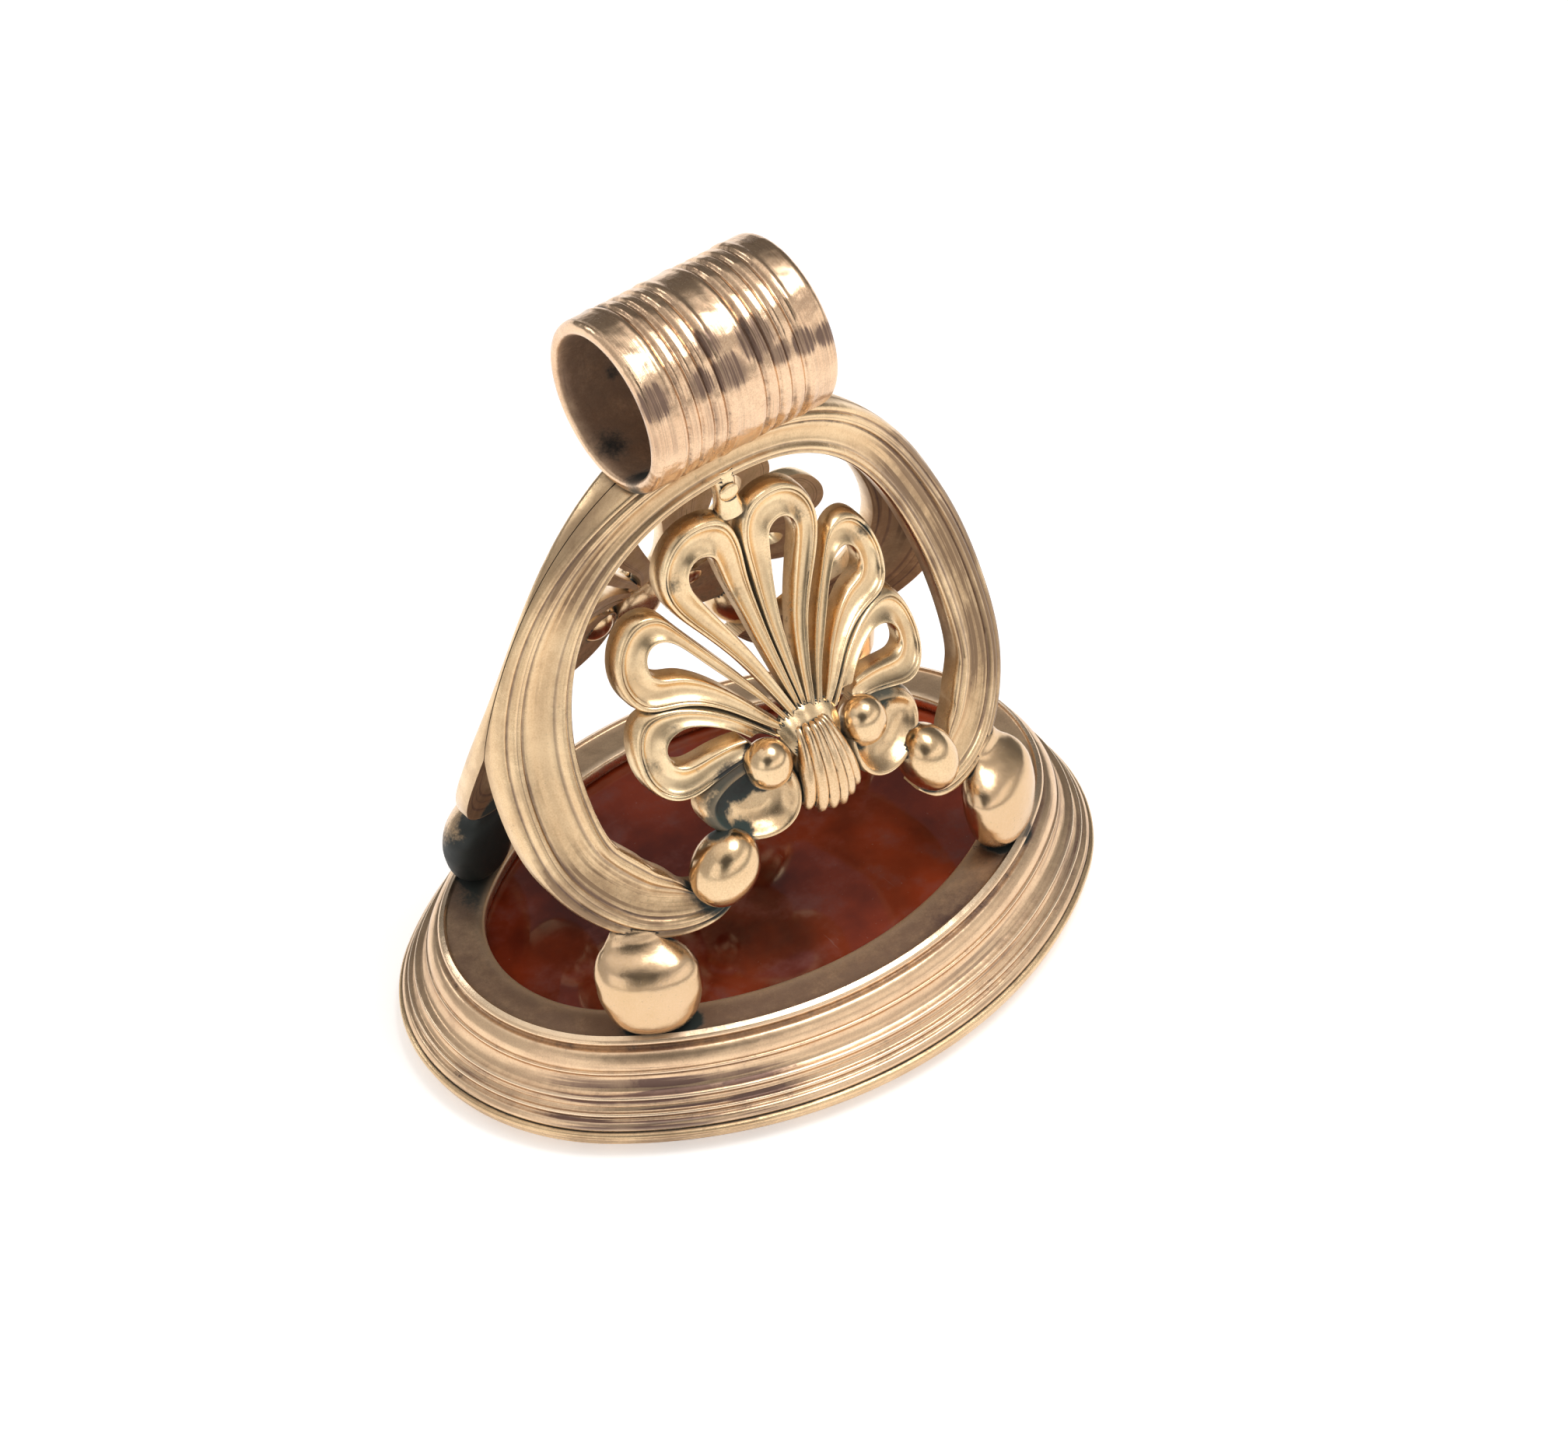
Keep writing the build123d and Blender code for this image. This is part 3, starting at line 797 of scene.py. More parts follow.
@dataclass(frozen=True)
class Oval:
    """The stone opening: an oval of four arcs, from which all rings of the base are offset."""

    long: float = 9.37
    short: float = 6.35
    end_radius: float = 4.6
    end_steps: int = 56
    side_steps: int = 72

    def arcs(self) -> list[tuple[float, float, float, float, float, int]]:
        """Centre, radius, first bearing, sweep and steps of each arc, with bearings in radians."""
        ends = self.long - self.end_radius
        radius = (ends**2 + self.short**2 - self.end_radius**2) / (2 * (self.short - self.end_radius))
        side = radius - self.short
        join = math.atan2(side, ends)
        return [
            (ends, 0.0, self.end_radius, -join, 2 * join, self.end_steps),
            (0.0, -side, radius, join, math.pi - 2 * join, self.side_steps),
            (-ends, 0.0, self.end_radius, math.pi - join, 2 * join, self.end_steps),
            (0.0, side, radius, math.pi + join, math.pi - 2 * join, self.side_steps),
        ]

    def ring(self, name: str, profile: Sequence[Row], closed: bool = True) -> Piece:
        """Spin a profile round the oval.

        Args:
            name: the piece's name.
            profile: reach from the opening and height of each point.
            closed: whether the profile's last point meets its first.

        Returns:
            The ring, with the share along the profile kept on each vertex.
        """
        shape = np.array(profile, float)
        parts = []
        for centre_x, centre_y, radius, bearing, sweep, steps in self.arcs():
            part = outline_of(name, len(shape), closed)
            out = shape[:, 0] + radius
            x, y = centre_x + out * math.cos(bearing), centre_y + out * math.sin(bearing)
            put(part, np.c_[x, y, shape[:, 1]])
            note(part, "across", np.linspace(0, 1, len(shape)))
            centre = (centre_x * MM, centre_y * MM, 0)
            with editing(part):
                bpy.ops.mesh.spin(steps=steps, angle=sweep, center=centre, axis=(0, 0, -1))
            parts.append(part)
        piece = together(name, parts)
        close_up(piece)
        return piece


def outline_of(name: str, count: int, closed: bool) -> Piece:
    """A closed loop or an open run of vertices, ready to be placed and spun."""
    deselect()
    bpy.ops.mesh.primitive_circle_add(vertices=count, radius=1, fill_type="NOTHING")
    piece = bpy.context.object
    piece.name = piece.data.name = name
    if not closed:
        last = {0, count - 1}
        for edge in piece.data.edges:
            edge.select = set(edge.vertices) == last
        for vertex in piece.data.vertices:
            vertex.select = False
        bpy.ops.object.mode_set(mode="EDIT")
        bpy.ops.mesh.select_mode(type="EDGE")
        bpy.ops.mesh.delete(type="EDGE_FACE")
        bpy.ops.object.mode_set(mode="OBJECT")
    return piece


def pebble(
    name: str, shape: Callable[[Array], Array], segments: int = 48, rings: int = 32
) -> Piece:
    """A closed rounded lump, shaped from a unit ball.

    Args:
        name: the piece's name.
        shape: gives places in millimetres from places on the unit ball.
        segments: faces round it.
        rings: faces from pole to pole.

    Returns:
        The lump.
    """
    deselect()
    bpy.ops.mesh.primitive_uv_sphere_add(segments=segments, ring_count=rings, radius=1)
    piece = bpy.context.object
    piece.name = piece.data.name = name
    put(piece, shape(places(piece) * MM))
    with editing(piece):
        bpy.ops.mesh.normals_make_consistent(inside=False)
    return piece


# ---- The open-work top


@dataclass
class Band:
    """The horseshoe: a moulded strip that curls inwards at both feet."""

    form: PanelForm
    steps: tuple[int, int] = (56, 300)
    samples: int = 1200
    full: float = 2.4
    tube_bottom: float = 21.12
    tube_share: float = 0.6
    edge: tuple[Row, ...] = (
        # across, up, width of the band
        (0.0, 21.75, 1.58), (2.5, 21.35, 1.54), (4.9, 20.1, 1.58), (7.0, 17.95, 1.75),
        (8.4, 15.5, 1.99), (9.2, 13.2, 2.26), (9.4, 11.0, 2.40), (9.1, 9.1, 2.54),
        (8.25, 7.75, 2.64), (7.0, 6.85, 2.54), (5.6, 6.6, 2.26), (4.3, 6.95, 1.58),
        (3.5, 7.75, 0.72),
    )
    relief: tuple[Row, ...] = (
        # share from the outer edge, rise
        (0.0, -0.30), (0.02, -0.13), (0.05, -0.05), (0.09, -0.03), (0.115, -0.06), (0.135, -0.12),
        (0.155, -0.04), (0.19, 0.05), (0.22, 0.045), (0.24, 0.0), (0.26, 0.03), (0.29, 0.01),
        (0.315, -0.10), (0.335, -0.13), (0.36, -0.09), (0.42, -0.14), (0.50, -0.23), (0.58, -0.27),
        (0.66, -0.24), (0.72, -0.17), (0.76, -0.17), (0.79, -0.09), (0.83, 0.02), (0.87, 0.02),
        (0.90, -0.06), (0.92, -0.07), (0.94, -0.03), (0.965, -0.03), (0.985, -0.10), (1.0, -0.26),
    )

    def build(self) -> Piece:
        """The whole band, pressed down a little under the tube."""
        right = np.array(self.edge)
        run = along(np.r_[mirrored(right)[:0:-1], right], self.samples)
        way = np.gradient(run[:, :2], axis=0)
        way /= np.linalg.norm(way, axis=1)[:, None]
        share = np.linspace(0, 1, len(run))

        def lay(u: Array, s: Array) -> Array:
            """Places on the band."""
            x, z, width, way_x, way_z = (np.interp(s, share, c) for c in np.c_[run, way].T)
            x = x + u * width * way_z
            z = z - u * width * way_x
            rise = relieve(self.relief, u, width, self.full)
            return np.c_[x, -self.form.depth(x, z) - rise, z]

        piece = strip("front_band", lay, self.steps)
        self.form.wall(piece, fan=False)
        spots = places(piece)
        spots[:, 2] -= self.tube_share * np.maximum(spots[:, 2] - self.tube_bottom, 0.0)
        put(piece, spots)
        smooth(piece, Crease.CAST)
        return piece


@dataclass(frozen=True)
class Root:
    """A low pad on the palmette's face, where the lobes run into the wrap."""

    form: PanelForm
    height: float = 12.0
    half: Row = (1.08, 0.36, 0.85)
    flare: float = 0.30
    set_back: float = 0.20
    ridge: float = 0.05
    ridge_count: float = 20.0
    ridge_centre: float = 10.2
    lean: float = 0.30
    lean_below: float = 12.6

    def shape(self, p: Array) -> Array:
        """The pad, from a unit ball."""
        wide, thick, tall = self.half
        x = wide * p[:, 0] * (1 + self.flare * p[:, 2])
        z = self.height + tall * p[:, 2]
        rays = np.cos(self.ridge_count * np.arctan2(x, z - self.ridge_centre))
        ridges = self.ridge * rays * np.clip(-2 * p[:, 1], 0, 1)
        forward = self.lean * np.clip(self.lean_below - z, 0, 1)
        y = -self.form.fan_depth(x, z) + self.set_back + thick * p[:, 1] - ridges - forward
        return np.c_[x, y, z]


@dataclass(frozen=True)
class Tab:
    """A short rounded neck between the two top lobes and the band."""

    form: PanelForm
    height: float = 19.66
    half: float = 0.84
    radius: float = 0.40
    flare: float = 0.18
    flare_power: float = 2.5
    flat_ends: float = 1.3
    full_sides: float = 1.9

    def shape(self, p: Array) -> Array:
        """The neck, from a unit ball."""
        level = np.clip(p[:, 2] * self.flat_ends, -1, 1)
        away = np.hypot(p[:, 0], p[:, 1]) + TINY
        full = np.clip(away * self.full_sides, 0, 1)
        z = self.height + self.half * level
        wide = self.radius + self.flare * np.abs(level) ** self.flare_power
        x = p[:, 0] / away * full * wide
        y = -self.form.depth(x, z) + self.radius + p[:, 1] / away * full * self.radius
        return np.c_[x, y, z]


@dataclass
class Palmette:
    """The fan of six lobes with its root and the tab and boss that tie it to the band."""

    form: PanelForm
    steps: tuple[int, int] = (30, 120)
    samples: int = 600
    full: float = 1.0
    relief: tuple[Row, ...] = (
        # share from the outer edge, rise
        (0.0, -0.34), (0.03, -0.16), (0.07, -0.05), (0.12, 0.0), (0.17, 0.0), (0.20, -0.06),
        (0.225, -0.02), (0.26, -0.02), (0.30, -0.09), (0.42, -0.19), (0.55, -0.23), (0.68, -0.18),
        (0.80, -0.08), (0.88, 0.0), (0.93, 0.01), (0.97, -0.05), (1.0, -0.22),
    )
    top_lobe: tuple[Row, ...] = (
        # outer edge across and up, hole's edge across and up
        (-0.02, 12.40, -0.17, 12.75), (-0.02, 14.0, -0.38, 14.0), (-0.03, 15.5, -0.62, 15.5),
        (-0.02, 17.0, -0.90, 16.8), (-0.05, 18.2, -1.03, 17.5), (-0.45, 18.95, -1.15, 17.8),
        (-1.20, 19.2, -1.42, 17.95), (-2.1, 19.0, -1.75, 17.9), (-2.8, 18.3, -2.0, 17.6),
        (-3.05, 17.4, -2.02, 17.15), (-2.85, 16.6, -1.83, 16.65), (-2.2, 15.65, -1.40, 15.8),
        (-1.45, 14.6, -0.86, 14.7), (-0.85, 13.5, -0.46, 13.6), (-0.45, 12.6, -0.22, 12.8),
    )
    middle_lobe: tuple[Row, ...] = (
        (-0.5, 12.55, -0.72, 12.6), (-0.95, 13.35, -1.2, 13.35), (-1.6, 14.35, -1.9, 14.2),
        (-2.3, 15.3, -2.5, 14.95), (-2.9, 16.15, -3.05, 15.6), (-3.4, 16.7, -3.4, 15.8),
        (-4.05, 16.75, -3.7, 15.8), (-4.75, 16.2, -3.98, 15.6), (-5.15, 15.3, -4.1, 15.25),
        (-5.15, 14.5, -4.02, 14.95), (-4.85, 14.0, -3.8, 14.8), (-4.0, 13.85, -3.3, 14.7),
        (-3.0, 13.7, -2.6, 14.35), (-2.0, 13.15, -1.8, 13.65), (-1.2, 12.55, -1.15, 12.9),
        (-0.8, 12.3, -0.8, 12.5),
    )
    low_lobe: tuple[Row, ...] = (
        (-1.0, 12.25, -2.1, 12.6), (-1.7, 12.85, -2.35, 12.8), (-2.5, 13.4, -2.8, 13.05),
        (-3.3, 13.75, -3.3, 13.22), (-4.2, 13.9, -3.8, 13.25), (-4.9, 13.75, -4.2, 13.1),
        (-5.35, 13.15, -4.45, 12.85), (-5.5, 12.4, -4.5, 12.6), (-5.4, 11.7, -4.42, 12.35),
        (-5.0, 11.25, -4.2, 12.25), (-4.4, 11.2, -3.9, 12.27), (-3.8, 11.42, -3.4, 12.4),
        (-3.1, 11.7, -2.9, 12.5), (-2.4, 11.9, -2.5, 12.53), (-1.7, 11.9, -2.2, 12.53),
    )
    boss_half: Row = (0.36, 0.12, 0.32)
    boss_across: float = -0.05
    boss_height: float = 19.75
    boss_sunk: float = 0.01

    def lobe(self, rows: Sequence[Row]) -> Piece:
        """One left-hand lobe of the palmette: a channelled strip bent round its hole."""
        run = along(rows, self.samples)
        share = np.linspace(0, 1, len(run))

        def lay(u: Array, s: Array) -> Array:
            """Places on the lobe."""
            x0, z0, x1, z1 = (np.interp(s, share, c) for c in run.T)
            x = x0 + u * (x1 - x0)
            z = z0 + u * (z1 - z0)
            rise = relieve(self.relief, u, np.hypot(x1 - x0, z1 - z0), self.full)
            return np.c_[x, -self.form.fan_depth(x, z) - rise, z]

        piece = strip("lobe", lay, self.steps)
        self.form.wall(piece, fan=True)
        return piece

    def build(self) -> Piece:
        """The whole palmette."""
        left = [self.lobe(rows) for rows in (self.top_lobe, self.middle_lobe, self.low_lobe)]
        right = [copied(lobe, "lobe", mirrored) for lobe in left]
        root = pebble("root", Root(self.form).shape)
        tab = pebble("tab", Tab(self.form).shape, 32, 24)
        depth = self.form.depth(np.zeros(1), np.array([self.boss_height]))[0]
        middle = (self.boss_across, self.boss_sunk - depth, self.boss_height)
        boss = pebble("boss", lambda p: p * self.boss_half + middle, 32, 20)
        piece = together("front_palmette", [*left, *right, root, tab, boss])
        smooth(piece, Crease.CAST)
        return piece


@dataclass
class Scrolls:
    """The two hollow scrolls below the palmette."""

    form: PanelForm
    steps: tuple[int, int] = (28, 96)
    samples: int = 600
    proud: float = 0.12
    middle: tuple[float, float] = (-2.45, 10.75)
    edge: tuple[Row, ...] = (
        # across, up
        (-2.4, 12.0), (-3.2, 11.75), (-3.8, 11.4), (-4.2, 10.9), (-4.15, 10.35), (-3.8, 9.95),
        (-3.3, 9.65), (-2.6, 9.5), (-1.9, 9.6), (-1.35, 9.95), (-1.05, 10.5), (-1.0, 11.1),
        (-1.3, 11.7), (-1.8, 12.0), (-2.4, 12.0),
    )
    relief: tuple[Row, ...] = (
        # share from the edge to the middle, rise
        (0.0, -0.38), (0.03, -0.16), (0.07, 0.0), (0.13, 0.06), (0.19, 0.0), (0.27, -0.20),
        (0.42, -0.42), (0.65, -0.54), (1.0, -0.56),
    )

    def build(self) -> Piece:
        """Both scrolls."""
        run = along(self.edge, self.samples)
        share = np.linspace(0, 1, len(run))
        mid_x, mid_z = self.middle

        def lay(u: Array, s: Array) -> Array:
            """Places on the scroll."""
            x0, z0 = (np.interp(s, share, c) for c in run.T)
            x = x0 + u * (mid_x - x0)
            z = z0 + u * (mid_z - z0)
            rise = bend_free(self.relief, u)
            return np.c_[x, -self.form.fan_depth(x, z) - self.proud - rise, z]

        left = strip("front_scrolls", lay, self.steps, ring=True)
        self.form.wall(left, fan=True)
        piece = together("front_scrolls", [left, copied(left, "scroll", mirrored)])
        smooth(piece, Crease.CAST)
        return piece


@dataclass
class Wrap:
    """The ribbed binding, whose ribs fan out downwards and end in rounded tips."""

    ribs: int = 6
    top: float = 12.60
    length: float = 3.0
    uneven: float = 0.05
    tip: float = 0.96
    spacing: float = 0.19
    spread: float = 0.19
    spread_power: float = 0.8
    half: float = 0.19
    half_spread: float = 0.09
    thick: float = 0.34
    depth: float = 4.72
    slope: float = 0.85
    swell: float = 0.66
    swell_from: float = 0.16
    swell_sweep: float = 0.66
    # how much an outer rib is shorter, lower and further back, by the square of its offset
    shorter: float = 0.06
    lower: float = 0.03
    rounded: float = 0.05
    core_half: Row = (0.98, 0.62, 1.15)
    core_lean: Row = (0.0, 0.35, 0.0)
    core_middle: Row = (0.0, -5.0, 11.0)

    def rib(self, number: int) -> Piece:
        """One rib, counted from the left."""
        offset = number - (self.ribs - 1) / 2
        length = self.length - self.shorter * offset**2 + self.uneven * (number % 2)

        def shape(p: Array) -> Array:
            """The rib, rounded at its lower end."""
            down = 0.5 - 0.5 * np.sin(np.arcsin(np.clip(p[:, 2], -1, 1)) * self.tip)
            blunt = p[:, :2] / np.sqrt(np.hypot(p[:, 0], p[:, 1]) + TINY)[:, None]
            x = offset * (self.spacing + self.spread * down**self.spread_power)
            x = x + blunt[:, 0] * (self.half + self.half_spread * down)
            z = self.top - self.lower * offset**2 - length * down
            swell = np.sin(np.pi * np.clip(self.swell_from + self.swell_sweep * down, 0, 1))
            out = self.depth + self.slope * down + self.swell * swell - self.rounded * offset**2
            return np.c_[x, -out + blunt[:, 1] * self.thick, z]

        return pebble("rib", shape, 24, 36)

    def build(self) -> Piece:
        """The ribs and the core behind them."""
        ribs = [self.rib(number) for number in range(self.ribs)]
        lean = np.array(self.core_lean)
        core = pebble(
            "core", lambda p: p * self.core_half + p[:, 2:] * lean + self.core_middle, 40, 28
        )
        piece = together("front_wrap", [*ribs, core])
        smooth(piece, Crease.ROUND)
        return piece


@dataclass
class Balls:
    """A small ball over each scroll and an egg-shaped one at each end of the band."""

    small_half: Row = (0.80, 0.80, 0.88)
    small_middle: Row = (-1.85, -4.96, 11.79)
    small_drop: float = 0.3
    end_half: Row = (1.20, 1.10, 1.30)
    end_middle: Row = (-4.10, -5.36, 8.93)
    end_taper: Row = (0.20, 0.10)
    end_lean: float = 0.12
    end_slim: float = 0.84
    end_shift: Row = (0.52, 0.0, 0.0)

    def end(self, p: Array) -> Array:
        """The left-hand end ball, narrower below and leaning inwards, from a unit ball."""
        below = np.clip(-p[:, 2], 0, 1)
        wide, thick, tall = self.end_half
        x = p[:, 0] * (wide - self.end_taper[0] * below**2) + self.end_middle[0]
        y = p[:, 1] * (thick - self.end_taper[1] * below) + self.end_middle[1]
        z = self.end_middle[2] + tall * p[:, 2]
        return np.c_[x + self.end_lean * p[:, 2], y, z + self.end_lean * p[:, 0]]

    def build(self) -> Piece:
        """All four balls. The right-hand ones sit a little lower or are slimmer."""
        small = pebble("small_ball", lambda p: p * self.small_half + self.small_middle, 56, 40)
        end = pebble("end_ball", self.end, 64, 44)
        drop, slim = (0, 0, self.small_drop), (self.end_slim, 1, 1)
        lower = copied(small, "ball", lambda spots: mirrored(spots) - drop)
        slimmer = copied(end, "ball", lambda spots: mirrored(spots) * slim + self.end_shift)
        piece = together("front_balls", [small, end, lower, slimmer])
        smooth(piece, Crease.ROUND)
        return piece


@dataclass
class Feet:
    """The two pebble-like feet with a collar under the band."""

    across: float = 7.05
    turn: float = 30.0
    power: float = 2.15
    least: float = 0.1
    levels: tuple[Row, ...] = (
        # share from the bottom pole, height, half width, half depth, depth of the middle
        (0.0, 3.63, 0.0, 0.0, 4.95), (0.06, 3.65, 0.68, 0.45, 4.95), (0.12, 3.76, 1.05, 0.68, 4.95),
        (0.22, 4.08, 1.36, 0.87, 4.95), (0.34, 4.62, 1.58, 0.98, 4.92),
        (0.46, 5.22, 1.71, 1.02, 4.86), (0.57, 5.76, 1.70, 0.99, 4.76),
        (0.66, 6.16, 1.56, 0.88, 4.62), (0.73, 6.43, 1.33, 0.70, 4.46),
        (0.79, 6.62, 1.08, 0.50, 4.31), (0.86, 6.86, 0.86, 0.35, 4.18),
        (0.93, 7.15, 0.65, 0.27, 4.12), (1.0, 7.35, 0.0, 0.0, 4.10),
    )

    def shape(self, p: Array) -> Array:
        """The left foot, from a unit ball."""
        share = np.arccos(np.clip(-p[:, 2], -1, 1)) / math.pi
        rows = np.array(self.levels)
        z, wide, thick, middle = (bend_free(rows[:, [0, i]], share) for i in range(1, 5))
        away = np.hypot(p[:, 0], p[:, 1]) + TINY
        a, b = p[:, 0] / away, p[:, 1] / away
        total = np.abs(a) ** self.power + np.abs(b) ** self.power
        squarer = np.maximum(total, self.least) ** (-1 / self.power)
        out, back = a * wide * squarer, b * thick * squarer
        turn = math.radians(self.turn)
        x = out * math.cos(turn) + back * math.sin(turn) - self.across
        return np.c_[x, back * math.cos(turn) - out * math.sin(turn) - middle, z]

    def build(self) -> Piece:
        """Both feet."""
        left = pebble("front_feet", self.shape, 64, 56)
        piece = together("front_feet", [left, copied(left, "foot", mirrored)])
        smooth(piece, Crease.ROUND)
        return piece


@dataclass
class Panel:
    """The two pierced panels, of which the back one is the front one turned round."""

    form: PanelForm = field(default_factory=PanelForm)

    def build(self) -> list[Piece]:
        """All pieces of the front panel, then of the back one."""
        form = self.form
        parts = (Band(form), Palmette(form), Scrolls(form), Wrap(), Balls(), Feet())
        front = [part.build() for part in parts]
        names = [piece.name.replace("front", "back") for piece in front]
        return front + [copied(piece, name, turned) for piece, name in zip(front, names)]


@dataclass
class Bail:
    """The tube, with two groups of turned grooves and rolled lips."""

    height: float = 24.07
    bore: float = 2.49
    wall: float = 0.5
    half: float = 3.5
    lip: float = 0.27
    lip_steps: int = 6
    mouth: float = 0.10
    grooves: tuple[float, ...] = (0.75, 1.24, 1.73, 2.22)
    groove_half: float = 0.15
    groove_depth: float = 0.12
    bead: float = 0.03
    beads: tuple[float, ...] = (0.5, 2.48)
    bead_width: float = 0.09
    inside_from: float = 0.5
    inside_steps: int = 24
    film_and_shade_over: float = 0.06
    steps: int = 160
    fine: int = 170

    def profile(self) -> Array:
        """Points along the bore, round the lips and along the grooved outside."""
        outer = self.bore + self.wall
        x = np.linspace(-self.half + self.lip, self.half - self.lip, self.fine)
        radius = np.full_like(x, outer - self.bead)
        for groove in self.grooves:
            for middle in (-groove, groove):
                away = np.abs(x - middle) / self.groove_half
                cut = np.where(away < 1, np.cos(away * math.pi / 2) ** 2, 0)
                radius -= self.groove_depth * cut
        for bead in self.beads:
            radius += self.bead * np.exp(-(((np.abs(x) - bead) / self.bead_width) ** 2))
        turn = np.linspace(0, math.pi / 2, self.lip_steps)[1:-1]
        crown = outer - self.bead - self.lip
        lip = np.c_[self.half - self.lip + self.lip * np.sin(turn), crown + self.lip * np.cos(turn)]
        mouth = [
            (self.half, crown), (self.half, self.bore + self.mouth),
            (self.half - self.mouth, self.bore),
        ]
        right = np.r_[lip, mouth]
        end = self.half - self.inside_from
        inside = np.linspace(end, -end, self.inside_steps)
        inside = np.c_[inside, np.full(len(inside), self.bore)]
        left = right[::-1] * (-1, 1)
        return np.r_[np.c_[x, radius], right, inside, left]

    def build(self) -> Piece:
        """Spin the profile round the bore's axis."""
        shape = self.profile()
        piece = outline_of("bail", len(shape), closed=True)
        put(piece, np.c_[shape[:, 0], np.zeros(len(shape)), self.height + shape[:, 1]])
        note(piece, "across", np.linspace(0, 1, len(shape)))
        centre = (0, 0, self.height * MM)
        with editing(piece):
            bpy.ops.mesh.spin(steps=self.steps, angle=2 * math.pi, center=centre, axis=(1, 0, 0))
        close_up(piece)
        spots = places(piece)
        away = np.hypot(spots[:, 1], spots[:, 2] - self.height)
        # the bore gets a dull film that also darkens it as painted shade
        note(piece, "film", away < self.bore + self.film_and_shade_over)
        smooth(piece, Crease.CAST)
        return piece


# ---- The base


@dataclass
class Base:
    """Moulded ledge ring, setting rim and stone."""

    oval: Oval = field(default_factory=Oval)
    ledge: float = 3.6
    seam: float = 0.98
    top_reach: float = 1.42
    seam_reach: float = 2.98
    fine: int = 120
    film_and_shade_way: Row = (-0.6, -0.8, 0.0)
    film_and_shade_middle: float = 0.3
    film_and_shade_slope: float = 0.14
    film_and_shade_least: float = 0.15
    film_and_shade_gap: float = 3.5
    slope: tuple[Row, ...] = (
        # share down the slope, rise
        (0.0, 0.04), (0.02, 0.075), (0.045, 0.075), (0.065, 0.03), (0.085, -0.08), (0.10, -0.11),
        (0.12, -0.06), (0.14, 0.02), (0.17, 0.065), (0.21, 0.095), (0.25, 0.105), (0.29, 0.09),
        (0.325, 0.055), (0.345, 0.01), (0.358, -0.01), (0.368, 0.035), (0.382, 0.03),
        (0.395, -0.03), (0.42, -0.085), (0.47, -0.125), (0.52, -0.135), (0.57, -0.11),
        (0.605, -0.03), (0.625, 0.04), (0.645, 0.07), (0.662, 0.05), (0.675, -0.01), (0.70, -0.055),
        (0.73, -0.06), (0.74, -0.085), (0.76, -0.075), (0.785, -0.06), (0.80, 0.0), (0.815, 0.05),
        (0.832, 0.045), (0.85, -0.02), (0.87, -0.065), (0.89, -0.04), (0.905, 0.02), (0.93, 0.045),
        (0.96, 0.045), (0.985, 0.02), (1.0, -0.02),
    )
    ledge_profile: tuple[Row, ...] = (
        # reach from the opening, height over the ledge
        (0.0, -0.10), (0.03, -0.03), (0.10, 0.0), (0.30, 0.0), (0.65, 0.0), (1.0, 0.0), (1.22, 0.0),
        (1.28, 0.01), (1.31, 0.05), (1.35, 0.085),
    )
    under_profile: tuple[Row, ...] = (
        # reach from the opening, height
        (2.30, 0.98), (2.2, 0.98), (1.0, 3.15), (0.5, 3.15), (0.03, 3.15), (0.0, 3.18),
    )
    rim_profile: tuple[Row, ...] = (
        (2.24, 0.93), (2.90, 0.93), (3.00, 0.925), (3.06, 0.90), (3.11, 0.86), (3.12, 0.80),
        (3.12, 0.74), (3.10, 0.69), (3.06, 0.65), (3.03, 0.60), (3.02, 0.52), (2.99, 0.44),
        (2.92, 0.38), (2.82, 0.35), (2.5, 0.35), (2.02, 0.35), (1.97, 0.37), (1.96, 0.41),
        (2.08, 0.55), (2.2, 0.70),
    )
    stone_profile: tuple[Row, ...] = (
        (1.55, 0.0), (1.60, 0.03), (1.63, 0.08), (2.05, 0.62), (2.11, 0.72), (2.12, 0.78),
        (2.12, 0.94), (2.10, 1.00), (0.97, 3.00), (0.93, 3.045), (0.86, 3.07), (0.80, 3.07),
    )

    def slope_points(self) -> Array:
        """Points down the moulded slope, from the rim to the seam."""
        share = np.linspace(0, 1, self.fine)
        rise = bend_free(self.slope, share)
        run, fall = self.seam_reach - self.top_reach, self.ledge - self.seam
        length = math.hypot(run, fall)
        reach = self.top_reach + share * run + rise * fall / length
        return np.c_[reach, self.ledge - share * fall + rise * run / length]

    def moulding(self) -> Piece:
        """The ledge and its moulded slope, with a dull finish and painted shade on the ledge, darker
        towards the front left.
        """
        ledge = np.array(self.ledge_profile) + (0, self.ledge)
        profile = np.r_[ledge, self.slope_points(), self.under_profile]
        piece = self.oval.ring("base_moulding_work", profile)
        # painted shade: the ledge is duller and browner towards the front left
        dull = self.film_and_shade_middle + self.film_and_shade_slope * places(piece) @ self.film_and_shade_way
        on_ledge = read(piece, "across") < (len(ledge) - self.film_and_shade_gap) / len(profile)
        note(piece, "film", on_ledge * np.clip(dull, self.film_and_shade_least, 1.0))
        smooth(piece, Crease.TURNED)
        return piece

    def rim(self) -> Piece:
        """The setting rim below the seam, with its bead."""
        piece = self.oval.ring("setting_rim_work", self.rim_profile)
        smooth(piece, Crease.TURNED)
        return piece

    def stone(self) -> Piece:
        """The seal stone, bevelled to the engraved side, with a polished flat back."""
        piece = self.oval.ring("stone_work", self.stone_profile, closed=False)
        with editing(piece):
            bpy.ops.mesh.fill_holes(sides=0)
            bpy.ops.mesh.select_all(action="SELECT")
            bpy.ops.mesh.normals_make_consistent(inside=False)
        smooth(piece, Crease.CUT)
        return piece


# ---- What the finishes read


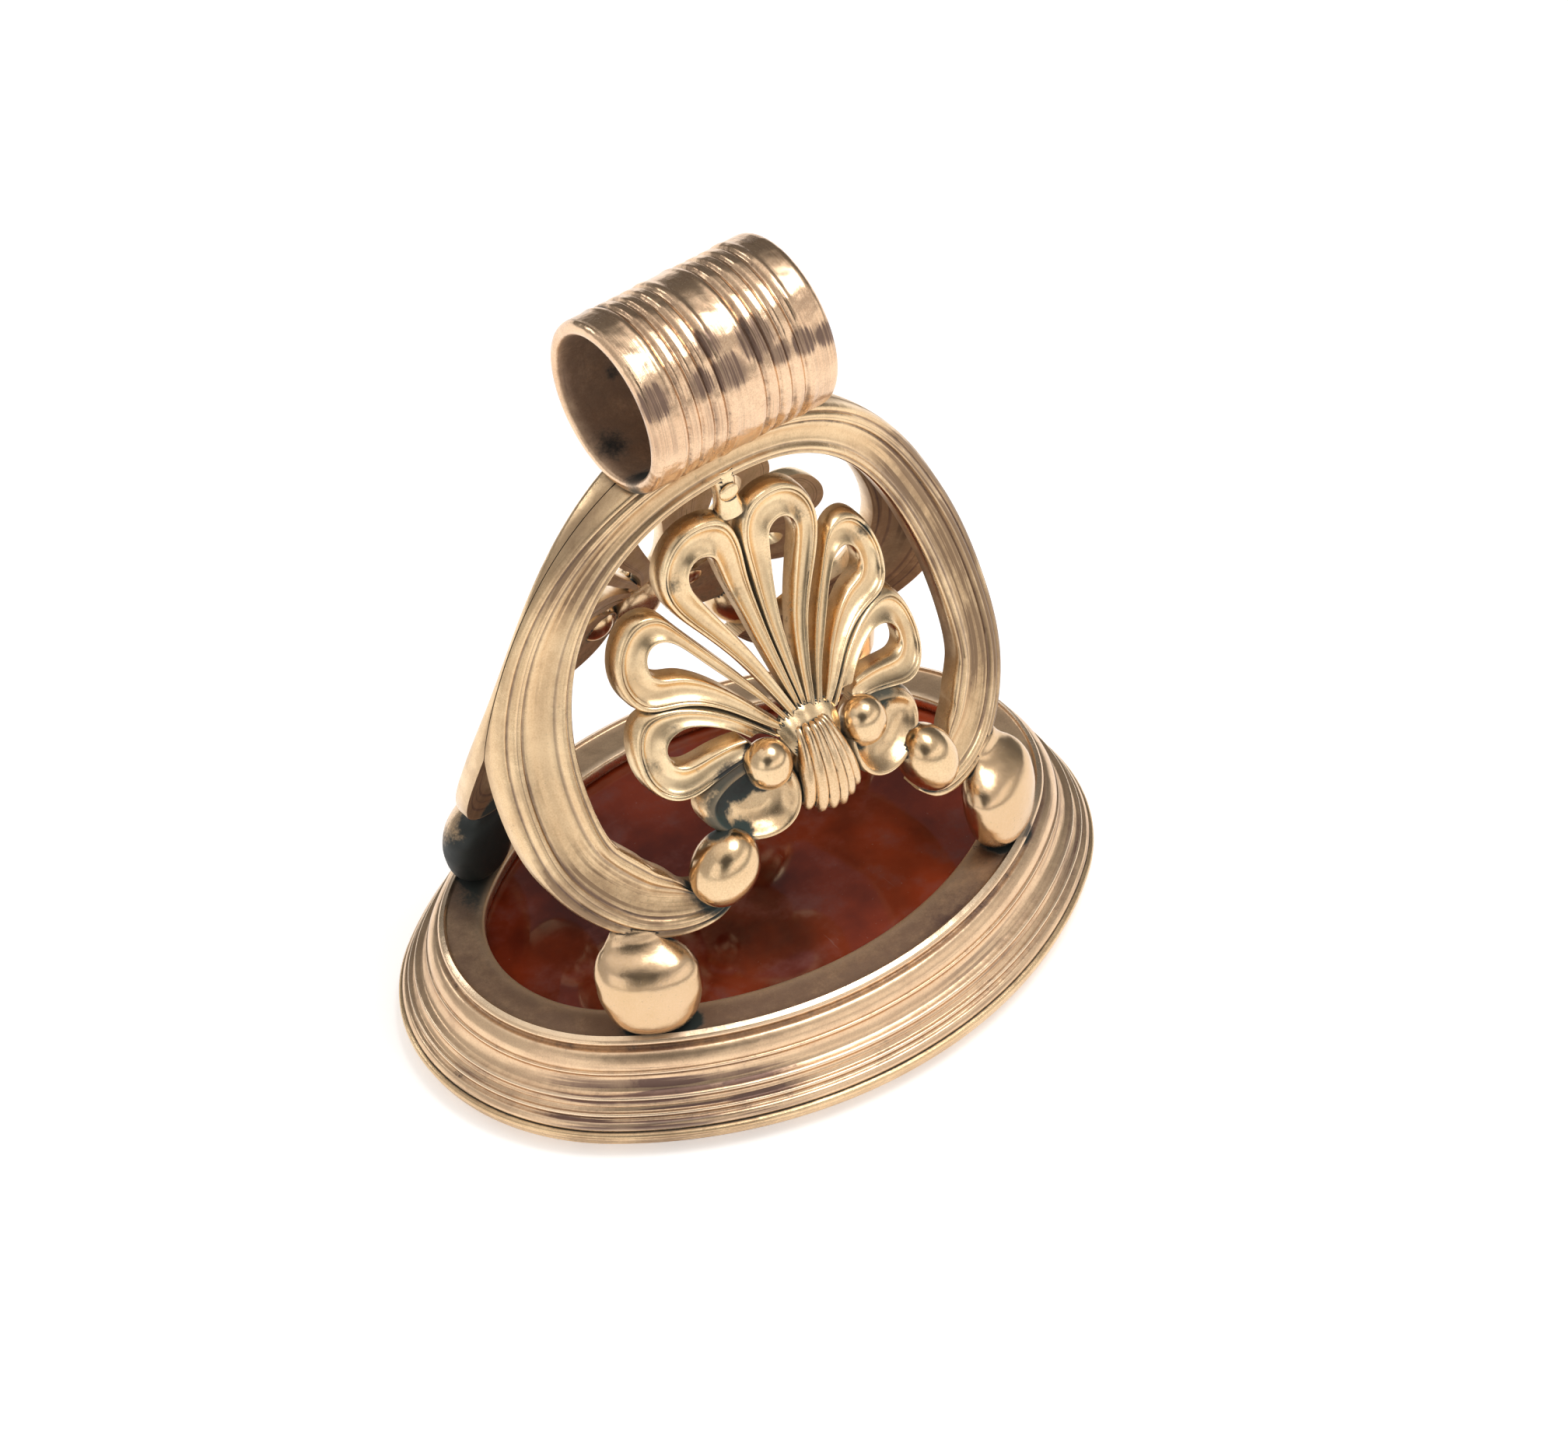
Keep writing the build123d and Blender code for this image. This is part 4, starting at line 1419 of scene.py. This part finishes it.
@dataclass(frozen=True)
class DirtAndShade:
    """Works out for each vertex how hollow its surroundings are, for dirt and painted shade, and where
    edges are rubbed.
    """

    rays: int
    near: float = 0.45
    far: float = 2.6
    lift: float = 0.012
    spread: float = 0.97
    soft_edge: float = 1.25
    ridge_rounds: int = 2
    # dirt spots; those on the ledge where the front feet stand are painted shadow
    spots: tuple[Row, ...] = (
        # across, depth, up, reach, strength
        (-4.1, -4.9, 7.75, 1.15, 0.65), (-3.6, -5.3, 8.1, 0.8, 0.5), (4.1, -4.9, 7.9, 0.9, 0.35),
        (-2.90, -4.5, 11.35, 0.75, 0.9), (-2.2, -5.1, 11.1, 0.5, 0.5), (-3.6, -4.9, 10.9, 0.6, 0.6),
        (-4.0, -5.0, 10.3, 0.55, 0.7), (-3.3, -5.2, 9.9, 0.5, 0.4), (2.9, -4.6, 11.5, 0.6, 0.4),
        (-2.6, -1.7, 17.4, 0.5, 0.30), (-0.9, -2.3, 16.4, 0.6, 0.32), (2.3, -1.7, 17.6, 0.5, 0.30),
        (4.7, -1.8, 15.8, 0.5, 0.30), (-4.1, -3.2, 13.4, 0.5, 0.28), (-5.1, -3.3, 12.4, 0.5, 0.26),
        (2.9, -2.7, 14.9, 0.5, 0.28), (-7.4, -1.5, 14.6, 0.7, 0.26), (-7.0, -4.4, 8.4, 0.8, 0.24),
        (-6.1, -5.6, 3.62, 0.48, 0.95), (6.6, -5.5, 3.62, 0.45, 0.8), (7.6, -5.4, 3.62, 0.45, 0.8),
        (-7.7, 3.6, 4.9, 1.8, 1.0), (-7.5, 3.6, 6.6, 1.2, 0.8), (-3.1, -1.4, 21.6, 0.8, 0.6),
        (2.7, -1.5, 21.4, 0.6, 0.35), (0.3, -1.3, 18.7, 0.4, 0.4), (7.1, 4.9, 3.8, 1.2, 0.4),
        (-2.6, 1.5, 26.0, 0.9, 0.3), (-1.6, 2.2, 23.2, 0.35, 0.42), (-2.8, 0.9, 21.6, 0.8, 0.30),
    )
    # brown spots: tarnish, and a row along the bail's front that paints a dark reflection
    brown_and_reflection_spots: tuple[Row, ...] = (
        (8.2, -0.3, 16.0, 2.6, 0.9), (9.1, -1.2, 13.0, 2.6, 1.0), (8.8, -2.6, 10.0, 2.4, 0.9),
        (8.0, -4.0, 7.6, 1.4, 0.6), (-5.6, -0.7, 19.2, 2.0, 0.7), (-8.4, -3.2, 8.3, 2.1, 0.8),
        (-6.6, -4.8, 6.9, 1.6, 0.6), (-8.0, -7.0, 1.6, 2.2, 1.0), (-5.6, -8.2, 1.6, 2.0, 0.7),
        (-10.0, -5.2, 1.5, 1.9, 0.7), (4.0, -8.6, 2.6, 2.5, 0.4), (9.6, -5.4, 2.0, 2.2, 0.4),
        (-2.2, -1.2, 18.6, 0.8, 0.8), (-4.5, -2.9, 16.2, 0.8, 0.8), (2.6, -1.6, 18.2, 0.7, 0.8),
        (-12.0, -1.3, 1.2, 1.0, 0.4), (-3.1, -2.5, 25.7, 0.6, 1.2), (-1.4, -2.6, 25.6, 0.5, 0.9),
        (-0.3, -2.6, 25.5, 0.6, 1.2), (0.9, -2.3, 26.0, 0.7, 1.3), (1.5, -2.7, 25.3, 0.4, 1.0),
        (2.4, -2.7, 25.3, 0.45, 1.0), (3.2, -2.75, 25.2, 0.4, 1.0), (-0.6, -1.9, 26.4, 0.5, 0.9),
        (-8.9, -2.2, 12.5, 1.0, 0.6), (-7.9, -1.6, 15.4, 1.0, 0.6), (-0.9, -4.6, 14.3, 0.5, 0.6),
    )

    def directions(self) -> Array:
        """Rays spread over a half ball about +Z, more of them near its top."""
        i = np.arange(self.rays) + 0.5
        up = np.sqrt(1 - self.spread * i / self.rays)
        out = np.sqrt(1 - up**2)
        turn = i * math.pi * (3 - math.sqrt(5))
        return np.c_[out * np.cos(turn), out * np.sin(turn), up]

    def openness(self, tree: BVHTree, spots: Array, normals: Array) -> tuple[Array, Array]:
        """How closed in each vertex is, near and far, by rays cast over its half ball.

        Args:
            tree: the faces of all pieces.
            spots: the vertices' places.
            normals: their normals.

        Returns:
            The near and the far share, for each vertex.
        """
        hollow, deep = np.zeros(len(spots)), np.zeros(len(spots))
        rays = self.directions()
        for i, (spot, normal) in enumerate(zip(spots, normals)):
            up = Vector(normal)
            side = up.orthogonal().normalized()
            other = up.cross(side)
            start = Vector(spot) + up * self.lift
            for ray in rays:
                way = side * ray[0] + other * ray[1] + up * ray[2]
                length = tree.ray_cast(start, way, self.far)[3]
                if length is not None:
                    deep[i] += 1 - length / self.far
                    hollow[i] += max(0.0, 1 - length / self.near)
        return hollow / self.rays, deep / self.rays

    def mark(self, pieces: Sequence[Piece]) -> None:
        """Keep what the finishes read on each vertex of the pieces."""
        spots, faces, start = [], [], 0
        for piece in pieces:
            spots.append(places(piece))
            faces += [[start + v for v in face.vertices] for face in piece.data.polygons]
            start += len(spots[-1])
        tree = BVHTree.FromPolygons([tuple(p) for p in np.vstack(spots)], faces)
        for piece, own in zip(pieces, spots):
            flat = np.empty(3 * len(own))
            piece.data.vertices.foreach_get("normal", flat)
            normals = flat.reshape(-1, 3)
            hollow, deep = self.openness(tree, own, normals)
            note(piece, "muck", self.soft(self.spots, own))
            note(piece, "brown", self.soft(self.brown_and_reflection_spots, own))
            note(piece, "hollow", hollow)
            note(piece, "deep", deep)
            note(piece, "ridge", self.ridges(piece, own, normals))

    def soft(self, table: Sequence[Row], spots: Array) -> Array:
        """The strongest of a table's soft round marks at each place."""
        total = np.zeros(len(spots))
        for x, y, z, reach, strength in table:
            away = np.linalg.norm(spots - (x, y, z), axis=1) / reach
            total = np.maximum(total, strength * np.clip(self.soft_edge - away, 0, 1))
        return total

    def ridges(self, piece: Piece, spots: Array, normals: Array) -> Array:
        """How sharply the surface bends outwards at each vertex, softened over its neighbours."""
        pairs = np.empty(2 * len(piece.data.edges), dtype=np.int32)
        piece.data.edges.foreach_get("vertices", pairs)
        a, b = pairs.reshape(-1, 2).T
        gap = spots[b] - spots[a]
        length = np.linalg.norm(gap, axis=1) + TINY
        bend = np.einsum("ij,ij->i", gap, normals[b] - normals[a]) / length
        total, count = np.zeros(len(spots)), np.zeros(len(spots)) + TINY
        for end in (a, b):
            np.add.at(total, end, bend)
            np.add.at(count, end, 1)
        value = total / count
        for _ in range(self.ridge_rounds):
            total, count = value.copy(), np.ones(len(spots))
            for here, there in ((a, b), (b, a)):
                np.add.at(total, here, value[there])
                np.add.at(count, here, 1)
            value = total / count
        return value


# ---- The studio


@dataclass(frozen=True)
class Lamp:
    """A square soft light that faces the seal, with sizes in metres and its power in watts."""

    name: str
    spot: Row
    size: float
    power: float
    aim: Row = (0.0, 0.0, 0.010)

    def build(self) -> None:
        """Add the light."""
        bpy.ops.object.light_add(type="AREA", location=self.spot)
        light = bpy.context.object
        light.name = self.name
        light.data.size = self.size
        light.data.energy = self.power
        aim = Vector(self.aim) - Vector(self.spot)
        light.rotation_mode = "QUATERNION"
        light.rotation_quaternion = aim.to_track_quat("-Z", "Y")


@dataclass(frozen=True)
class Patch:
    """Light added to the room, or a share by which it dims, over some of its directions.

    Each pair of steps is where the patch comes in, by the height of a direction or by how far it
    points the patch's way.
    """

    share: float
    heights: tuple[Row, ...] = ()
    way: Row = (0.0, 0.0, 0.0)
    facing: Row = ()
    dims: bool = False


@dataclass(frozen=True)
class Room:
    """Pale room light, brighter above, with the dark of the room behind the camera."""

    back: Vector
    tint: Row = (1.0, 0.975, 0.945, 1.0)
    level: float = 0.56

    def patches(self) -> list[Patch]:
        """What makes the light uneven, in the order in which it is added."""
        back = self.back
        dark = Patch(-0.40, ((0.94, 0.80),), (-back.x, -back.y, 0.0), (0.05, 0.50))
        ceiling = Patch(0.42, ((0.62, 0.95),))
        viewer = Patch(0.85, (), tuple(back), (0.89, 0.96), dims=True)
        front = Patch(0.70, ((0.16, 0.26), (0.60, 0.45)), (0.34, -0.94, 0.0), (0.50, 0.85))
        low_right = Patch(0.25, ((0.22, 0.10),), (0.82, -0.57, 0.0), (0.20, 0.65), dims=True)
        return [dark, ceiling, viewer, front, low_right]

    def build(self) -> None:
        """Set up the world."""
        world = bpy.data.worlds.new("room")
        world.use_nodes = True
        bpy.context.scene.world = world
        tree = world.node_tree
        way = tree.nodes.new("ShaderNodeTexCoord").outputs["Generated"]
        split = tree.nodes.new("ShaderNodeSeparateXYZ")
        tree.links.new(way, split.inputs[0])
        height = Wire(tree, split.outputs["Z"])
        level = self.level
        for patch in self.patches():
            steps = [height.ramp(*step) for step in patch.heights]
            if patch.facing:
                dot = tree.nodes.new("ShaderNodeVectorMath")
                dot.operation = "DOT_PRODUCT"
                tree.links.new(way, dot.inputs[0])
                dot.inputs[1].default_value = patch.way
                steps.append(Wire(tree, dot.outputs["Value"]).ramp(*patch.facing))
            share = math.prod(steps, start=patch.share)
            level = level * (1 - share) if patch.dims else level + share
        background = tree.nodes["Background"]
        tree.links.new(level.socket, background.inputs["Strength"])
        background.inputs["Color"].default_value = self.tint


@dataclass
class Studio:
    """A pale floor, soft light and the camera. Its angles are in degrees."""

    azimuth: float = -32.65
    elevation: float = 41.55
    roll: float = -5.33
    distance: float = 228.0
    focal: float = 9000.0
    image: tuple[int, int] = (2016, 1845)
    target: Row = (0.0, 0.0, 8.0)
    target_at: tuple[float, float] = (941.9, 960.8)
    sensor: float = 36.0
    clip: tuple[float, float] = (0.01, 10.0)
    floor_size: float = 4.0
    floor_gap: float = 0.01
    lamps: tuple[Lamp, ...] = (
        Lamp("top_light", (0.22, -0.16, 0.72), 0.32, 2.0),
        Lamp("left_light", (-0.70, -0.30, 0.30), 0.45, 0.4),
        Lamp("back_light", (-0.30, 0.62, 0.42), 0.18, 0.35),
    )

    def axes(self) -> tuple[Vector, Vector, Vector]:
        """The camera's right, up and back directions."""
        a, e, r = (math.radians(v) for v in (self.azimuth, self.elevation, self.roll))
        back = Vector((math.sin(a) * math.cos(e), -math.cos(a) * math.cos(e), math.sin(e)))
        level = Vector((math.cos(a), math.sin(a), 0))
        above = back.cross(level)
        right = math.cos(r) * level + math.sin(r) * above
        return right, math.cos(r) * above - math.sin(r) * level, back

    def camera(self) -> None:
        """The camera at the photograph's angle."""
        right, up, back = self.axes()
        scale = self.distance / self.focal
        aside = (self.target_at[0] - self.image[0] / 2) * scale
        above = (self.image[1] / 2 - self.target_at[1]) * scale
        spot = Vector(self.target) - right * aside - up * above + back * self.distance
        bpy.ops.object.camera_add(location=spot * MM)
        camera = bpy.context.object
        camera.name = "camera"
        camera.rotation_mode = "QUATERNION"
        camera.rotation_quaternion = Matrix((right, up, back)).transposed().to_quaternion()
        camera.data.sensor_width = self.sensor
        camera.data.lens = self.focal * self.sensor / self.image[0]
        camera.data.clip_start, camera.data.clip_end = self.clip
        bpy.context.scene.camera = camera

    def floor(self) -> None:
        """The floor that the seal stands on."""
        deselect()
        spot = (0, 0, -self.floor_gap * MM)
        bpy.ops.mesh.primitive_plane_add(size=self.floor_size, location=spot)
        floor = bpy.context.object
        floor.name = "floor"
        floor.data.materials.append(FloorFinish("pale_floor").material())

    def build(self) -> None:
        """Set up everything that isn't part of the seal."""
        self.camera()
        self.floor()
        Room(self.axes()[2]).build()
        for lamp in self.lamps:
            lamp.build()
        settings = bpy.context.scene.view_settings
        settings.view_transform = "Standard"
        settings.look = "None"
        settings.exposure = 0.0


# ---- The whole


GOLDS = {
    "band": GoldFinish(
        "band_gold", even=0.7, streak=0.22, streak_count=14, streak_grain=0.0025,
        # painted shade along the band's grooves
        lines=(
            Line(0.135, 0.022, 0.7), Line(0.24, 0.010, 0.5), Line(0.33, 0.028, 0.6),
            Line(0.755, 0.03, 0.5), Line(0.91, 0.02, 0.7),
        ),
        satin=(Line(0.56, 0.22, 1.0),),
    ),
    "palmette": GoldFinish(
        "palmette_gold", bright=(0.97, 0.75, 0.47), warm=(0.80, 0.57, 0.33), shade=0.1,
        # the lines are painted shade along the palmette's grooves
        tarnish_and_shade_share=0.5, lines=(Line(0.205, 0.020, 0.6), Line(0.29, 0.02, 0.35)),
        satin=(Line(0.55, 0.25, 0.6),),
    ),
    "scrolls": GoldFinish(
        "scroll_gold", dirt_and_shade_from=0.12, dirt_and_shade_full=0.34, green_share=1.0, tarnish_and_shade_share=0.5
    ),
    "wrap": GoldFinish(
        "wrap_gold", bright=(0.92, 0.69, 0.45), dirt_and_shade_from=0.30, dirt_and_shade_full=0.62,
        tarnish_and_shade_share=0.4, shade=0.4,
    ),
    "balls": GoldFinish("ball_gold", polish=0.12, tarnish_and_shade_share=0.4, pores=0.12),
    "feet": GoldFinish(
        "foot_gold", bright=(0.75, 0.53, 0.335), dirt_and_shade_colour=(0.011, 0.011, 0.010),
        green=(0.014, 0.022, 0.019), polish=0.15, tarnish_and_shade_share=0.4,
    ),
    # bail: strong brown spots and strokes that paint a dark reflection along its front
    "bail": GoldFinish(
        "bail_gold", bright=(0.92, 0.66, 0.44), warm=(0.70, 0.46, 0.29),
        tarnish_and_shade_colour=(0.22, 0.145, 0.11), polish=0.15, dull=0.3, dents=0.10, streak=0.35,
        streak_count=120, ragged=2.0, even=0.9,
    ),
    # base: a painted highlight on the moulding's convex edges
    "base": GoldFinish(
        "base_gold", bright=(0.88, 0.63, 0.40), warm=(0.70, 0.475, 0.30),
        tarnish_and_shade_colour=(0.20, 0.125, 0.10), polish=0.23, dirt_and_shade_from=0.30, dirt_and_shade_full=0.62, streak=0.05,
        streak_count=22, streak_grain=0.0015, ragged=1.6, even=0.15, edge_from=0.03,
        edge_full=0.25, edge_painted_highlight=0.55,
    ),
    "rim": GoldFinish("rim_gold", polish=0.2, streak=0.4),
}


def dress(piece: Piece, coat: bpy.types.Material, node: str) -> None:
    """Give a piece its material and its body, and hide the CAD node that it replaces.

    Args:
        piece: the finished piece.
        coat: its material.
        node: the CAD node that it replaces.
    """
    piece.data.materials.clear()
    piece.data.materials.append(coat)
    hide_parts(node)
    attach(piece, "root")
    triangles = sum(len(face.vertices) - 2 for face in piece.data.polygons)
    LOG.info("%s: %d triangles", piece.name, triangles)


def main() -> None:
    """Build the seal and its studio."""
    logging.basicConfig(level=logging.INFO, format="%(name)s %(message)s")
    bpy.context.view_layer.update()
    Studio().build()

    top = Panel().build()
    bail = Bail().build()
    base = Base()
    moulding, rim, stone = base.moulding(), base.rim(), base.stone()
    DirtAndShade(RAYS).mark([*top, bail, moulding, rim, stone])

    coats = {kind: finish.material() for kind, finish in GOLDS.items()}
    for piece in top:
        dress(piece, coats[piece.name.split("_")[1]], "openwork_top")
    dress(bail, coats["bail"], "openwork_top")
    dress(moulding, coats["base"], "base_moulding")
    dress(rim, coats["rim"], "setting_rim")
    dress(stone, StoneFinish("carnelian").material(), "seal_stone")


if __name__ == "__main__":
    main()
